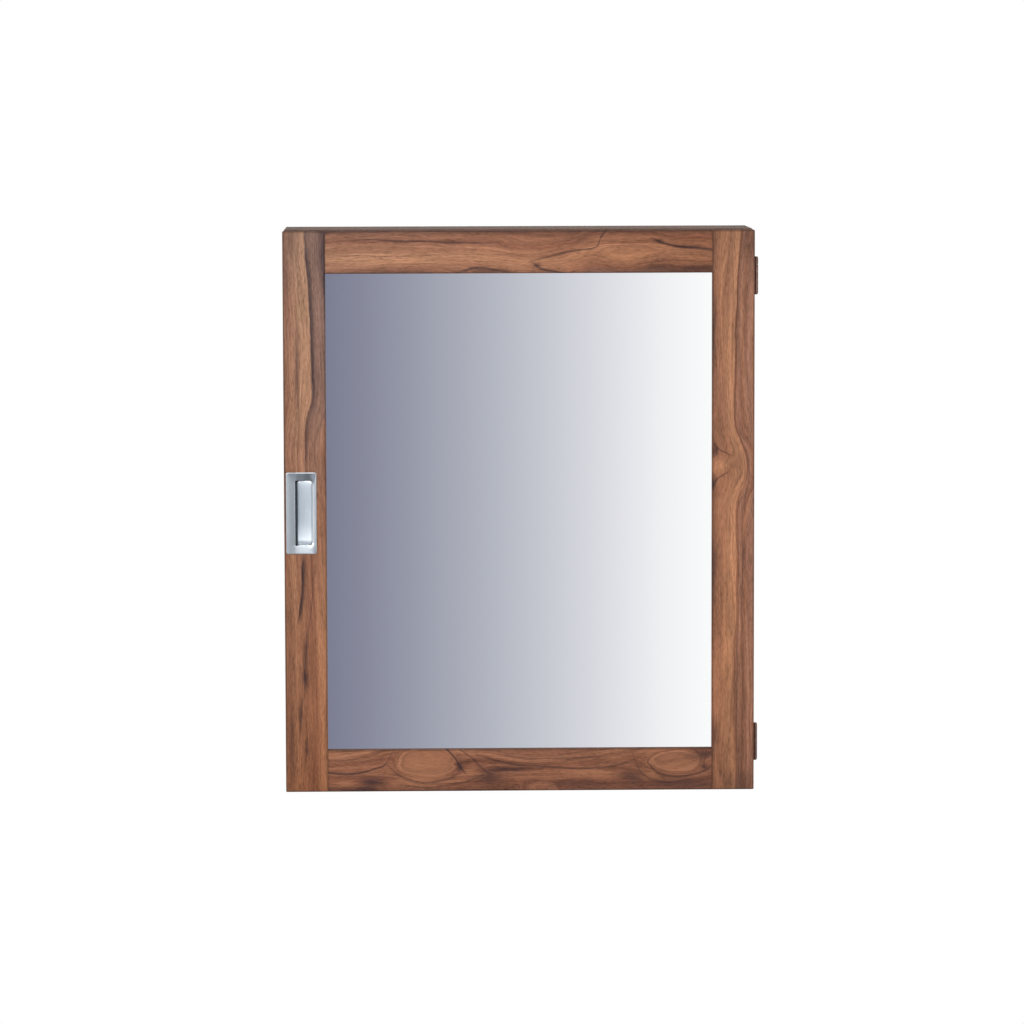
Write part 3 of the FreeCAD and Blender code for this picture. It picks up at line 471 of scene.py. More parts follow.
STILE_LEFT = Figure(
    ground={
        -56: BROWN, -50: TAN, -43: AMBER, -36: TAN, -30: BROWN, -24: RUSSET, -17: TAN, -10: AMBER,
        -5: AMBER, -0.8: AMBER, 0.4: SLATE, 4: MAUVE, 10: MAUVE, 16: MAUVE, 22: BROWN,
    },
    # Tone along the stile, partly painted shade at its top edge and lower down
    shade={300: 0.7, 296: 0.84, 288: 0.9, 120: 0.95, 0: 0.93, -200: 0.88, -270: 0.82, -300: 0.68},
    tint=((0.93, 0.79, 0.65), (1.03, 1.23, 1.4)),
    flow=0.4,
    share={300: 0.6, 115: 0.6, 80: 0.4, 30: 0.2, 0: 0.12, -30: 0.2, -80: 0.55, -120: 0.6, -300: 0.6},
    guide={
        300: -227, 270: -226, 245: -223, 220: -221.3, 190: -220.3, 150: -219.7, 120: -221, 97: -226,
        60: -228, 30: -222, 0: -208, -45: -198, -120: -196, -300: -196,
    },
    veins=(
        ({
            310: -227.5, 270: -226.5, 245: -223.5, 190: -220.8, 140: -220, 118: -221.5, 92: -227,
        }, 6.0, 0.68),
        ({110: -225, 97: -227, 75: -227.8, 50: -229}, 3.0, 0.45),
        ({190: -238, 150: -236, 120: -235, 90: -236}, 2.5, 0.45),
        ({120: -204, 100: -209, 85: -215, 70: -217.5, 35: -216}, 3.4, 0.38),
        ({-38: -230.5, -75: -231.5, -95: -233.5, -108: -235.5, -124: -238.5}, 5.4, 1.0),
        ({-42: -218, -80: -220, -110: -224, -140: -227}, 1.8, 0.5),
        ({-112: -226, -150: -228, -185: -230, -215: -233, -260: -237}, 2.4, 0.5),
        ({-150: -243, -180: -240.5, -200: -240}, 1.6, 0.4),
    ),
    patches=(
        (285, -206, 45, 6, -0.8), (235, -205, 30, 3, -0.6), (283, -240, 26, 9, -0.4),
        (150, -227, 50, 3.5, 0.3), (225, -230, 40, 4, 0.2), (76, -236, 24, 9, -0.18),
        (150, -242, 45, 4, 0.3), (150, -236, 45, 2.4, -0.45), (62, -228, 14, 1.6, -0.4),
        (240, -247, 50, 2.5, -0.3), (80, -212, 26, 6, 0.1), (40, -210, 30, 6, 0.14),
        (10, -211, 14, 5, 0.12), (-60, -240, 30, 4, 0.35), (-150, -227.5, 14, 2.6, -0.6),
        (-176, -229, 12, 2.8, -0.9), (-221, -233.5, 14, 2.2, -0.75), (-256, -227.5, 8, 2, -0.7),
        (-250, -243.5, 40, 3, -0.4), (-215, -243, 90, 7, -0.28), (-130, -212, 60, 4, 0.25),
        (-210, -222, 40, 3, 0.25), (-215, -206, 40, 1.5, -0.4),
    ),
)
STILE_RIGHT = Figure(
    ground={
        -26: BROWN, -20: TAN, -13: TAN, -6: AMBER, -0.8: AMBER, 0.4: RUSSET, 1.6: BROWN, 4: ROSE, 9: BROWN,
        13: ROSE, 17: ROSE, 22: BROWN,
    },
    share={0: 0.72},
    tint=((0.97, 0.89, 0.81), (0.97, 0.95, 0.93)),
    # Tone along the stile, partly painted shade at its top edge and lower down
    shade={300: 0.66, 296: 0.78, 285: 0.81, 230: 0.93, 0: 0.96, -180: 0.95, -250: 0.83, -300: 0.68},
    guide={
        300: 235, 280: 233, 240: 231, 200: 229.5, 110: 228.5, 92: 229.5, 75: 234, 55: 237, 30: 236, 0: 231,
        -100: 230.5, -170: 229, -300: 231,
    },
    swells=((50, 207, 10, 20, 15, 1.3), (48, 240, 26, 12, -5, 1.0)),
    veins=(
        ({310: 235, 280: 233, 240: 231, 200: 229.5, 150: 229, 95: 229, 82: 232, 68: 236}, 2.6, 0.6),
        ({280: 226, 200: 226, 130: 225}, 1.8, 0.35),
        ({75: 205, 67: 210, 62: 219, 58: 228}, 5.0, 0.7),
        ({45: 226, 38: 217, 33: 211, 22: 206}, -5.0, 0.7),
        ({96: 230, 75: 236, 62: 241.5, 50: 243.5, 36: 243, 20: 239.5, -5: 238}, 2.4, 0.65),
        ({70: 234, 58: 238.5, 42: 239, 25: 235, 5: 233}, 1.6, 0.4),
        ({5: 236, -40: 237.5, -100: 236.5, -200: 237, -310: 238}, 2.2, 0.55),
        ({5: 230, -60: 232.5, -120: 232, -220: 231, -310: 231}, 2.0, 0.55),
    ),
    patches=(
        (190, 206, 80, 3.5, -0.65), (285, 243, 30, 6, -0.4), (265, 217, 60, 4, 0.25),
        (175, 222, 40, 4, 0.2), (85, 216, 18, 5, -0.2), (125, 214, 30, 7, -0.28), (50, 213, 6, 10, 0.45),
        (66, 208, 4, 4, -0.7), (27, 207, 7, 3, -0.7), (30, 228, 16, 4, 0.3), (-45, 239, 16, 2, -0.55),
        (-70, 245, 80, 5, -0.06), (-60, 207, 45, 5, -0.8), (-140, 220, 80, 5, 0.3),
        (-190, 229, 40, 2.5, -0.4), (-243, 208, 18, 5, -0.55), (-294, 240, 14, 9, -0.45),
        (-290, 225, 12, 6, -0.3), (-279, 214, 4, 1.5, -0.5), (-260, 234, 50, 3, -0.35),
    ),
)
RAIL_TOP = Figure(
    ground={
        -24: MAUVE, -18: BROWN, -12: TAN, -6: AMBER, -1: AMBER, 3: TAN, 7: TAN, 10: BROWN, 13: RUSSET,
        17: BROWN, 24: BROWN,
    },
    shade={-205: 0.91, 0: 0.89, 40: 0.82, 110: 0.78, 205: 0.72},
    tint=((0.98, 1.03, 1.1), (0.98, 0.86, 0.78)),
    share={0: 0.68},
    guide={-205: 274, -120: 274, -40: 275, 15: 268, 60: 274, 95: 284, 130: 284, 170: 278, 205: 277},
    swells=((-36, 252, 34, 9, 8), (115, 266, 32, 12, 9)),
    veins=(
        # Painted shade along the door's top edge, where its rounding turns away from the light
        ({-400: 299.8, 400: 299.8}, -8.0, 0.42),
        ({-190: 291, -157: 289.5, -120: 287.5, -60: 287, -12: 285.5}, 2.0, 0.85),
        ({-212: 278, -190: 273, -150: 272, -60: 274, 10: 273}, 1.3, 0.45),
        ({-72: 254, -58: 257.5, -42: 260, -28: 259, 0: 255}, -4.5, 0.8),
        ({
            4: 264, 20: 267.5, 40: 272.5, 62: 276, 78: 279.5, 84: 283, 86: 290, 92: 297, 100: 306,
        }, 2.6, 0.6),
        ({34: 271, 48: 274, 62: 276.4, 78: 279.5, 84: 283, 88: 288}, 3.4, 0.6),
        ({80: 278, 83: 282, 85.2: 287, 86.4: 291, 90: 295, 100: 303}, 5.0, 0.7),
        ({10: 267, 18: 264.5, 25: 260.5, 32: 258.5, 54: 255.5}, -4.4, 0.85),
        ({132: 296, 146: 289, 153: 286.2, 165: 283, 180: 280.7, 222: 277.5}, -4.0, 1.0),
        ({70: 266, 82: 275, 100: 282.5, 122: 284, 146: 278, 160: 270}, -2.4, 0.35),
    ),
    patches=(
        (-125, 267.5, 75, 4, 0.5), (-20, 268, 30, 5, 0.35), (-60, 277, 70, 3, 0.2),
        (-110, 288, 50, 1.6, -0.2), (-36, 256, 22, 3, -0.6), (28, 258.5, 12, 2.4, -0.6),
        (19, 264, 5, 2, -0.7), (45, 263, 26, 6, 0.1), (112, 269, 18, 5, 0.3), (68, 290, 12, 5, -0.25),
        (182, 280.5, 16, 2, -0.6), (190, 275, 24, 3, -0.3), (188, 258, 26, 5, -0.7),
        (150, 262, 16, 6, -0.35), (-203, 298, 8, 3, -0.5), (150, 272, 14, 4, -0.2),
        (150, 287.5, 5, 2, -0.6),
    ),
)
RAIL_BOTTOM = Figure(
    ground={
        -3: UMBER, -1.6: RUSSET, -0.5: BROWN, 0.3: RUSSET, 1: BROWN, 1.8: RUSSET, 2.4: TAN, 3: BROWN,
        3.6: TAN, 7: TAN,
    },
    share={0: 0.62},
    # Tone along the rail, partly painted shade where less light falls low on the door
    shade={-205: 0.81, -100: 0.88, 60: 0.8, 205: 0.77},
    tint=((1, 0.92, 0.88), (1, 0.91, 0.86)),
    guide={-205: -271, 205: -271},
    slope=0.1,
    pitch=1.1,
    swells=(
        (-100, -270, 31, 18, 3.4, 4.0, 0.5), (-92, -273, 52, 20, 1.5, 2.2),
        (169, -269, 30, 13.5, 3.2, 4.0, 0.5), (164, -272, 42, 17, 1.3, 2.2), (38, -247, 86, 27, 3.6, 1.4),
        (24, -297, 22, 7, 2.0), (-200, -252, 60, 22, 2.6, 2.0),
    ),
    veins=(
        ({
            -230: -270, -196: -278.5, -180: -279, -166: -277, -156: -273.5, -147: -271, -140: -262,
            -128: -240,
        }, -3.0, 1.0),
        ({-90: -244, -77: -255, -70: -264, -65: -272, -55: -284}, 4.6, 0.95),
        ({
            -68: -252, -45: -261, -20: -268, 10: -273, 60: -276, 95: -274.5, 118: -268, 142: -247,
        }, 3.2, 0.7),
        ({-40: -257, 0: -263, 50: -266, 100: -262, 130: -253}, 1.8, 0.55),
        ({
            126: -240, 135: -262, 140: -273, 148: -279.5, 160: -283, 175: -283.5, 190: -279.5, 215: -263,
        }, -5.4, 0.66),
        ({-148: -250, -134: -277, -118: -286.5, -97: -288.5, -78: -284.5, -54: -270}, -5.0, 0.6),
        ({-72: -248, -50: -266, -37: -277, -26: -288}, 4.0, 0.6),
        ({-140: -290, -100: -294, -70: -291, -48: -284, -28: -272}, -3.6, 0.5),
        ({112: -244, 122: -262, 127: -275, 134: -283, 145: -287.5, 166: -290}, -4.0, 0.5),
    ),
    patches=(
        (-159, -289, 15, 5.5, -0.95), (-167, -297, 12, 3, -0.8), (-63, -273, 4, 5, -0.9),
        (-66, -262, 8, 5, -0.3), (-34, -284, 15, 8, -0.75), (-12, -275, 24, 3, -0.8),
        (50, -292, 46, 5, -0.45), (118, -284, 14, 8, -0.7), (178, -292, 38, 5, -0.7),
        (202, -259, 10, 6, -0.6), (40, -261, 70, 7, -0.24), (-187, -291, 14, 4, 0.4),
        (72, -279, 30, 3, 0.5), (24, -294, 8, 3, 0.35), (-100, -269, 24, 12, 0.27),
        (166, -268, 22, 9, 0.1), (-50, -277, 9, 5, 0.45), (-112, -290, 36, 6, 0.4),
        (100, -262, 16, 6, 0.3), (192, -264, 12, 7, -0.5), (-184, -262, 20, 6, -0.15),
        (-5, -289, 10, 3, 0.2), (138, -282, 9, 4, 0.4), (200, -273, 4, 3, -0.8),
    ),
)
PLAIN = Figure(
    ground={-100: BROWN, -60: TAN, -20: BROWN, 20: TAN, 60: BROWN, 100: TAN},
    share={0: 0.4},
)


# Other finishes

NICKEL_LIGHT = (0.68, 0.72, 0.75, 1)
NICKEL_DARK = (0.58, 0.62, 0.65, 1)
NICKEL_ROUGHNESS = 0.31
NICKEL_SPAN = 0.04
METAL_SPAN = 0.12
# Brushing: how fine it is each way, its share of the tone, that tone's range and the depth of relief
BRUSHING = (900, 900, 60)
BRUSHING_SHARE = 0.35
BRUSHING_RANGE = (0.3, 0.7)
BRUSHING_RELIEF = 0.00001
NICKEL_TARNISH = 40.0
MOULDED_RELIEF = 0.00004
SILVER = (0.955, 0.965, 0.968, 1.0)
# The mirror's faint haze: how fine it is, its range and the roughness over that range
HAZE_SCALE = 9.0
HAZE_RANGE = (0.3, 0.8)
HAZE_ROUGHNESS = (0.004, 0.02)
# Depths in millimetres below the pull's front over which painted shade darkens its gutter and its walls, and
# its tone
GUTTER_SHADE = (6.6, 7.1)
GUTTER_PAINTED_SHADE = 0.33
WALL_SHADE = (1.3, 2.2)
WALL_PAINTED_SHADE = 0.5
# How far up or down a wall of the pull faces where its painted shade starts and where it is darkest
STEEP = (0.14, 0.5)
# Painted shade on the upper flange and painted highlights on the lower one and its inner edge: how far down
# or up each faces, from which height, and its tone at places across the pull
BROW_PAINTED_SHADE = {
    4: 0.85, 8.7: 1.05, 10.8: 0.83, 13: 0.63, 18: 0.59, 22: 0.45, 25.6: 0.48, 28: 0.62, 30: 0.87,
}
SILL_PAINTED_HIGHLIGHT = {4: 1.0, 9: 0.98, 16: 1.12, 30: 1.16}
ROLL_PAINTED_HIGHLIGHT = {10: 1.17, 21: 1.17, 26: 0.75, 30: 0.75}
FLANGE_PAINTED_LIGHT = (
    ((-0.03, -0.12), (30, 33), BROW_PAINTED_SHADE),
    ((0.03, 0.12), (-30, -33), SILL_PAINTED_HIGHLIGHT),
    ((0.2, 0.45), (-32, -33.5), ROLL_PAINTED_HIGHLIGHT),
)
# Painted light and shade across the pull, darker near the gutter and the right edge: millimetres from its
# left edge, and tone
PAINTED_LIGHT_ACROSS = {
    0: 1.02, 2: 0.98, 8.6: 0.76, 11: 0.95, 14: 0.97, 22: 1.0, 28.4: 1.02, 29.6: 0.92, 31.4: 0.76, 32.5: 0.85,
}


def mirror_glass():
    """Silvered glass."""
    graph = material_graph("mirror_glass")
    haze = graph.noise(graph.scaled(graph.coordinate("Object"), HAZE_SCALE))
    rough = graph.spread(haze, *HAZE_RANGE, *HAZE_ROUGHNESS)
    return graph.principled(Base_Color=SILVER, Metallic=1.0, Roughness=rough)


def brushing(graph, light, dark, tarnish):
    """Fine lines along a brushed metal, and its colour with a slow change of tone."""
    place = graph.coordinate("Object")
    lines = graph.noise(graph.vector("MULTIPLY", place, BRUSHING))
    slow = graph.times(graph.noise(graph.scaled(place, tarnish)), 1 - BRUSHING_SHARE)
    tone = graph.spread(graph.times(lines, BRUSHING_SHARE, slow), *BRUSHING_RANGE)
    return lines, graph.ramp(tone, ((0.0, dark), (1.0, light)))


def metal(graph, lines, colour, rough, span):
    """Ends a brushed metal's tree, with a roughness that varies by that span over the lines."""
    return graph.principled(
        Base_Color=colour,
        Metallic=1.0,
        Roughness=graph.times(lines, span, rough - span / 2),
        Normal=graph.relief(lines, BRUSHING_RELIEF),
    )


def brushed_metal(name, light, dark, rough, tarnish):
    """Plain brushed metal."""
    graph = material_graph(name)
    lines, colour = brushing(graph, light, dark, tarnish)
    return metal(graph, lines, colour, rough, METAL_SPAN)


def satin_nickel():
    """Satin nickel brushed along the pull, with painted shade and highlights in its hollows, on its flanges
    and across it.
    """
    graph = material_graph("satin_nickel")
    lines, colour = brushing(graph, NICKEL_LIGHT, NICKEL_DARK, NICKEL_TARNISH)
    parts = graph.parts(graph.scaled(graph.coordinate("Object"), MILLIMETRES))
    facing = graph.parts(graph.coordinate("Normal"))["Z"]
    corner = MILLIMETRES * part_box("flush_pull")[0]
    across = graph.math("SUBTRACT", parts["X"], corner.x)
    depth = graph.math("SUBTRACT", parts["Y"], corner.y)
    steep = graph.spread(graph.math("ABSOLUTE", facing), *STEEP, smooth=True)
    sunk = graph.spread(depth, *WALL_SHADE, smooth=True)
    # Painted shade in the gutter and on steep walls deep in the cup, and painted light and shade across the
    # pull
    changes = [
        graph.spread(depth, *GUTTER_SHADE, 1.0, GUTTER_PAINTED_SHADE, smooth=True),
        graph.spread(graph.times(steep, sunk), 0, 1, 1.0, WALL_PAINTED_SHADE),
        # Painted light and shade across the pull
        graph.curve(across, PAINTED_LIGHT_ACROSS),
    ]
    # Painted shade on the upper flange, and painted highlights on the lower flange and its inner edge
    for turn, height, tones in FLANGE_PAINTED_LIGHT:
        turned = graph.spread(facing, *turn, smooth=True)
        beyond = graph.spread(parts["Z"], *height, smooth=True)
        share = graph.times(turned, beyond)
        changes.append(graph.spread(share, 0, 1, 1.0, graph.curve(across, tones)))
    for change in changes:
        colour = graph.scaled(colour, change)
    return metal(graph, lines, colour, NICKEL_ROUGHNESS, NICKEL_SPAN)


def moulded(name, colour, rough, fleck, fine):
    """Matt plastic, rubber or pressed board: one colour with a fine uneven tone."""
    graph = material_graph(name)
    speckle = graph.noise(graph.scaled(graph.coordinate("Object"), fine))
    shade = graph.times(speckle, 2 * fleck, 1 - fleck)
    return graph.principled(
        Base_Color=graph.scaled(colour[:3], shade),
        Roughness=rough,
        Normal=graph.relief(speckle, MOULDED_RELIEF),
    )


# What each piece is made of

# How far past the stiles' edges the worn ends of the rails lie, in metres
JOINT = 0.001
# Plain boards: name, axes along and across the grain, tone, and the colour of painted shade and sheen on its
# upper faces, if any
PLAIN_BOARDS = (
    ("side_left", "z", "y", 0.95, UPPER_SHEEN_AND_SHADE), ("side_right", "z", "y", 0.95, UPPER_SHEEN_AND_SHADE),
    ("top_panel", "x", "y", 0.9, UPPER_SHEEN_AND_SHADE), ("bottom_panel", "x", "y", 0.9, None),
    ("hanging_rail", "x", "z", 1.0, None), ("shelf_upper", "x", "y", 1.0, None),
    ("shelf_lower", "x", "y", 1.0, None), ("bead_top", "x", "z", 0.95, None),
    ("bead_bottom", "x", "z", 0.95, None), ("bead_left", "z", "x", 0.95, None),
    ("bead_right", "z", "x", 0.95, None), ("back_panel", "z", "x", 1.1, None),
)
# Metals: name, light and dark tone, roughness and how fine the tarnish is, and then their pieces
METALS = (
    (
        ("aged_bronze", (0.19, 0.108, 0.088, 1), (0.11, 0.06, 0.05, 1), 0.42, 120.0),
        "hinge_upper_carcass_leaf", "hinge_lower_carcass_leaf", "hinge_upper_pin", "hinge_lower_pin",
        "hinge_upper_door_leaf", "hinge_lower_door_leaf", "carcass_hinge_screws", "door_hinge_screws",
    ), (
        ("zinc_plate", (0.62, 0.62, 0.6, 1), (0.45, 0.45, 0.45, 1), 0.36, 200.0),
        "back_panel_screws", "catch_pole_plates", "catch_screws", "shelf_pins", "bead_pins", "pull_screws",
        "strike_plate", "strike_screw",
    ),
)
# Mouldings: name, colour, roughness, how uneven the tone is and how fine, and their piece
MOULDINGS = (
    (("hardboard", srgb(118, 86, 62), 0.75, 0.3, 350.0), "mirror_backing"),
    (("beech", srgb(205, 170, 130), 0.7, 0.2, 400.0), "carcass_dowels"),
    (("catch_plastic", srgb(74, 52, 42), 0.45, 0.1, 1500.0), "catch_housing"),
    (("ferrite", srgb(52, 50, 50), 0.7, 0.2, 1500.0), "catch_magnet"),
    (("silicone", srgb(205, 205, 200), 0.4, 0.06, 1500.0), "bumper_dots"),
)


def dress(material, *names):
    """Gives CAD nodes a finish."""
    for name in names:
        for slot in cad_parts[name].material_slots:
            slot.material = material


def dress_all():
    """Every CAD node's finish."""
    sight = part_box("stile_left")[1].x
    for name, seed, figure in (("stile_left", 1, STILE_LEFT), ("stile_right", 2, STILE_RIGHT)):
        dress(wood(name, "z", "x", seed, figure, upper_shade=DOOR_UPPER_SHADE), name)
    for name, seed, figure in (("rail_top", 3, RAIL_TOP), ("rail_bottom", 4, RAIL_BOTTOM)):
        low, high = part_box(name)
        seen = Vector((sight - JOINT, low.y, low.z)), Vector((JOINT - sight, high.y, high.z))
        dress(wood(name, "x", "z", seed, figure, box=seen, upper_shade=DOOR_UPPER_SHADE), name)
    for seed, (name, along, across, tone, upper_shade) in enumerate(PLAIN_BOARDS, start=5):
        dress(wood(name, along, across, seed, PLAIN, tone, upper_shade=upper_shade), name)
    dress(mirror_glass(), "mirror_pane")
    for finish, *names in METALS:
        dress(brushed_metal(*finish), *names)
    for finish, name in MOULDINGS:
        dress(moulded(*finish), name)


# The polished pull, in millimetres from its left edge, its front and its middle

# A rounded oblong seen from the front: its sides, half its height and the rounds of its corners
Ring = namedtuple("Ring", "left right reach left_round right_round")

MOUTH = Ring(9.3, 28.8, 35.3, 1.4, 5.0)
UNDERCUT = 4.6
GUTTER_DEPTH = 8.6
LIP_DEPTH = 2.6
# How far the lip's underside slopes
LIP_SLOPE = 0.15
CUP_WALL = 1.6
CUP_RIGHT_DEPTH = 4.4
PLATE_DEPTH = 2.4
PLATE_ROUND = 2.0
# Small bevels: behind the cup, where the cup meets the plate, and round the back of the plate
CUP_BEVEL = 0.5
ROOT_BEVEL = 0.2
PLATE_BEVEL = 0.1
RIM = 0.9
DISH_DEPTH = 1.0
DISH_STEPS = 12
# The dish's slope at its rim, as a share of its mean slope
DISH_START = 0.8
# How far the dish's corners are rounded more than its two edges are
DISH_SOFTNESS = 4.2
EDGE_ROUND = 0.8
MOUTH_ROUND = 0.4
LEAST_ROUND = 0.2
ROUND_STEPS = 4
# The grip slopes down to the left, more steeply at the right than at its left edge
GRIP_EDGE = 10.8
GRIP_SHALLOW = 2.8
GRIP_SLOPES = (0.31, 0.17)
GRIP_STEPS = 8
# How far the grip's face lies inside the mouth's wall, and inside its own left edge
GRIP_INSET = (1.8, 1.0)
# Where the grip starts to fall away at its top, swell near its foot and fall away below that, over how far
# and how much
GRIP_TOP = (27.3, 8.0, 0.24)
GRIP_SWELL = (9.0, 21.0, -0.95)
GRIP_FOOT = (32.2, 3.0, 0.5)
# The groove round the grip: its depth, where it starts to fill up at its top, over how far and how much
GROOVE = 0.36
GROOVE_TOP = (28, 6, 0.6)
# How far from the left side the gutter turns into that groove
GUTTER_RUN = 3
# The lines where the skin closes, in the middle of the back and of the grip
BACK_LINE = Ring(GRIP_EDGE, GRIP_EDGE, 30, 0, 0)
GRIP_LINE = Ring(20, 20, 24, 0, 0)
BOSS_ACROSS = 23.7
BOSS_UP = 22.0
BOSS_RADIUS = 3.4
BOSS_BEVEL = 0.3
BOSS_BORE = 1.5
BOSS_BORE_DEPTH = 4.5
CORNER_STEPS = 8
SIDE_STEPS = (10, 48, 10, 48)
# Points of the skin closer than this, in metres, are one point
WELD = 1e-6


def ring_points(ring):
    """Points round a ring from its lower left corner: across and up."""
    arcs = []
    corners = ((180, "left", -1), (270, "right", -1), (0, "right", 1), (90, "left", 1))
    for quarter, side, end in corners:
        radius = ring.left_round if side == "left" else ring.right_round
        across = ring.left + radius if side == "left" else ring.right - radius
        up = end * (ring.reach - radius)
        angles = [math.radians(quarter + 90 * step / CORNER_STEPS) for step in range(CORNER_STEPS + 1)]
        arcs.append([(across + radius * math.cos(turn), up + radius * math.sin(turn)) for turn in angles])
    points = []
    for arc, following, steps in zip(arcs, arcs[1:] + arcs[:1], SIDE_STEPS):
        points += arc
        start, end = Vector(arc[-1]), Vector(following[0])
        points += [tuple(start.lerp(end, step / steps)) for step in range(1, steps)]
    return points


def inset(ring, by):
    """A ring that much smaller all round."""
    rounds = (max(ring.left_round - by, LEAST_ROUND), max(ring.right_round - by, LEAST_ROUND))
    return Ring(ring.left + by, ring.right - by, ring.reach - by, *rounds)


def between(first, second, share):
    """A ring part of the way from one to another."""
    return Ring(*(a + (b - a) * share for a, b in zip(first, second)))


def eased(value, start, over):
    """How far a value is past the start, squared, as a share of the stretch that it eases over."""
    return max(0.0, min(1.0, (value - start) / over)) ** 2


def quarter_round():
    """Steps of a quarter round: how far it has turned away from its start, and how far it has run on."""
    turns = [math.radians(90 * step / ROUND_STEPS) for step in range(1, ROUND_STEPS + 1)]
    return [(1 - math.cos(turn), math.sin(turn)) for turn in turns]


def grip_depth(across, up):
    """Depth of the grip's face below the front of the pull."""
    steep, gentle = GRIP_SLOPES
    run = MOUTH.right - across
    share = run / (MOUTH.right - GRIP_EDGE)
    depth = GRIP_SHALLOW + run * (steep + (gentle - steep) * share / 2)
    for height, (start, over, fall) in ((up, GRIP_TOP), (-up, GRIP_SWELL), (-up, GRIP_FOOT)):
        depth += fall * eased(height, start, over)
    return depth


def level(ring, depth):
    """A ring of the skin at one depth."""
    return [(across, depth, up) for across, up in ring_points(ring)]


def hollow(ring, left_depth, lower):
    """A ring of the skin in the cup: at one depth on the left, and lower than the grip elsewhere."""
    start, over, fill = GROOVE_TOP
    places = []
    for across, up in ring_points(ring):
        left = max(0.0, 1 - (across - ring.left) / GUTTER_RUN)
        depth = grip_depth(across, up) + lower * (1 - fill * eased(up, start, over))
        places.append((across, depth + (left_depth - depth) * left, up))
    return places


def cup_back(ring, higher):
    """A ring of the skin on the back of the cup: flat behind the gutter, then sloping up to the right."""
    deep = GUTTER_DEPTH + CUP_WALL
    slope = (deep - CUP_RIGHT_DEPTH) / (MOUTH.right + CUP_WALL - GRIP_EDGE)
    points = ring_points(ring)
    return [(across, deep - higher - slope * max(0.0, across - GRIP_EDGE), up) for across, up in points]


def back_rings(plate):
    """The pull's skin from the middle of its back to the edge of its plate."""
    cup = inset(MOUTH._replace(left=UNDERCUT), -CUP_WALL)
    return [
        cup_back(BACK_LINE, 0), cup_back(inset(cup, CUP_BEVEL), 0), cup_back(cup, CUP_BEVEL),
        level(cup, PLATE_DEPTH + ROOT_BEVEL), level(inset(cup, -ROOT_BEVEL), PLATE_DEPTH),
        level(inset(plate, PLATE_BEVEL), PLATE_DEPTH), level(plate, PLATE_DEPTH - PLATE_BEVEL),
    ]


def front_rings(plate):
    """The pull's skin from the edge of its plate over the dish to the mouth."""
    rings = [level(plate, EDGE_ROUND)]
    for away, on in quarter_round():
        rings.append(level(inset(plate, EDGE_ROUND * away), EDGE_ROUND * (1 - on)))
    rim = inset(plate, RIM)
    for step in range(DISH_STEPS + 1):
        share = step / DISH_STEPS
        ring = between(rim, MOUTH, share)
        extra = DISH_SOFTNESS * 4 * share * (1 - share)
        soft = ring._replace(left_round=ring.left_round + extra, right_round=ring.right_round + extra)
        rings.append(level(soft, DISH_DEPTH * share * (DISH_START + (1 - DISH_START) * share)))
    for away, on in quarter_round():
        rings.append(level(inset(MOUTH, MOUTH_ROUND * on), DISH_DEPTH + MOUTH_ROUND * away))
    return rings


def cup_rings():
    """The pull's skin from the mouth down into the gutter and up to the middle of the grip."""
    wall = inset(MOUTH, MOUTH_ROUND)
    rings = [level(wall, LIP_DEPTH), level(wall._replace(left=UNDERCUT), LIP_DEPTH + LIP_SLOPE)]
    edge = grip_depth(GRIP_EDGE, 0)
    # How far inside the wall a ring is, its left side, its depth there and its share of the groove
    for inside, left, depth, share in (
        (0, UNDERCUT, LIP_DEPTH + 0.5, 0.5), (0, UNDERCUT, GUTTER_DEPTH - 1.2, 1),
        (0.3, UNDERCUT + 0.3, GUTTER_DEPTH - 0.4, 1), (0.5, UNDERCUT + 1.4, GUTTER_DEPTH, 1),
        (0.6, GRIP_EDGE - 1.2, GUTTER_DEPTH, 0.8), (0.9, GRIP_EDGE - 0.5, GUTTER_DEPTH - 0.9, 0.55),
        (1.1, GRIP_EDGE, edge + 0.8, 0.3), (1.4, GRIP_EDGE + 0.5, edge + 0.25, 0.1),
    ):
        rings.append(hollow(inset(wall, inside)._replace(left=left), depth, GROOVE * share))
    inside, past_edge = GRIP_INSET
    face = inset(wall, inside)._replace(left=GRIP_EDGE + past_edge)
    for step in range(GRIP_STEPS + 1):
        points = ring_points(between(face, GRIP_LINE, step / GRIP_STEPS))
        rings.append([(across, grip_depth(across, up), up) for across, up in points])
    return rings


def boss_rings(end, up):
    """The skin of one of the pull's screw bosses, with its bore."""
    profile = (
        (BOSS_RADIUS, end - BOSS_BEVEL), (BOSS_RADIUS - BOSS_BEVEL, end), (BOSS_BORE, end),
        (BOSS_BORE, end - BOSS_BORE_DEPTH), (0, end - BOSS_BORE_DEPTH),
    )

    def circle(radius):
        """Points round the boss: across and up."""
        steps = 4 * CORNER_STEPS
        turns = [2 * math.pi * step / steps for step in range(steps)]
        return [(BOSS_ACROSS + radius * math.cos(turn), up + radius * math.sin(turn)) for turn in turns]

    rings = []
    for radius in (0, BOSS_RADIUS):
        rings.append([(x, grip_depth(x, z) + CUP_WALL / 2, z) for x, z in circle(radius)])
    for radius, depth in profile:
        rings.append([(x, depth, z) for x, z in circle(radius)])
    return rings


def add_rings(form, rings, place):
    """Adds a closed skin to a mesh: a band of faces between each ring and the next."""
    rows = [[form.verts.new(place(point)) for point in ring] for ring in rings]
    for first, second in zip(rows, rows[1:]):
        for step in range(len(first)):
            form.faces.new((first[step - 1], first[step], second[step], second[step - 1]))


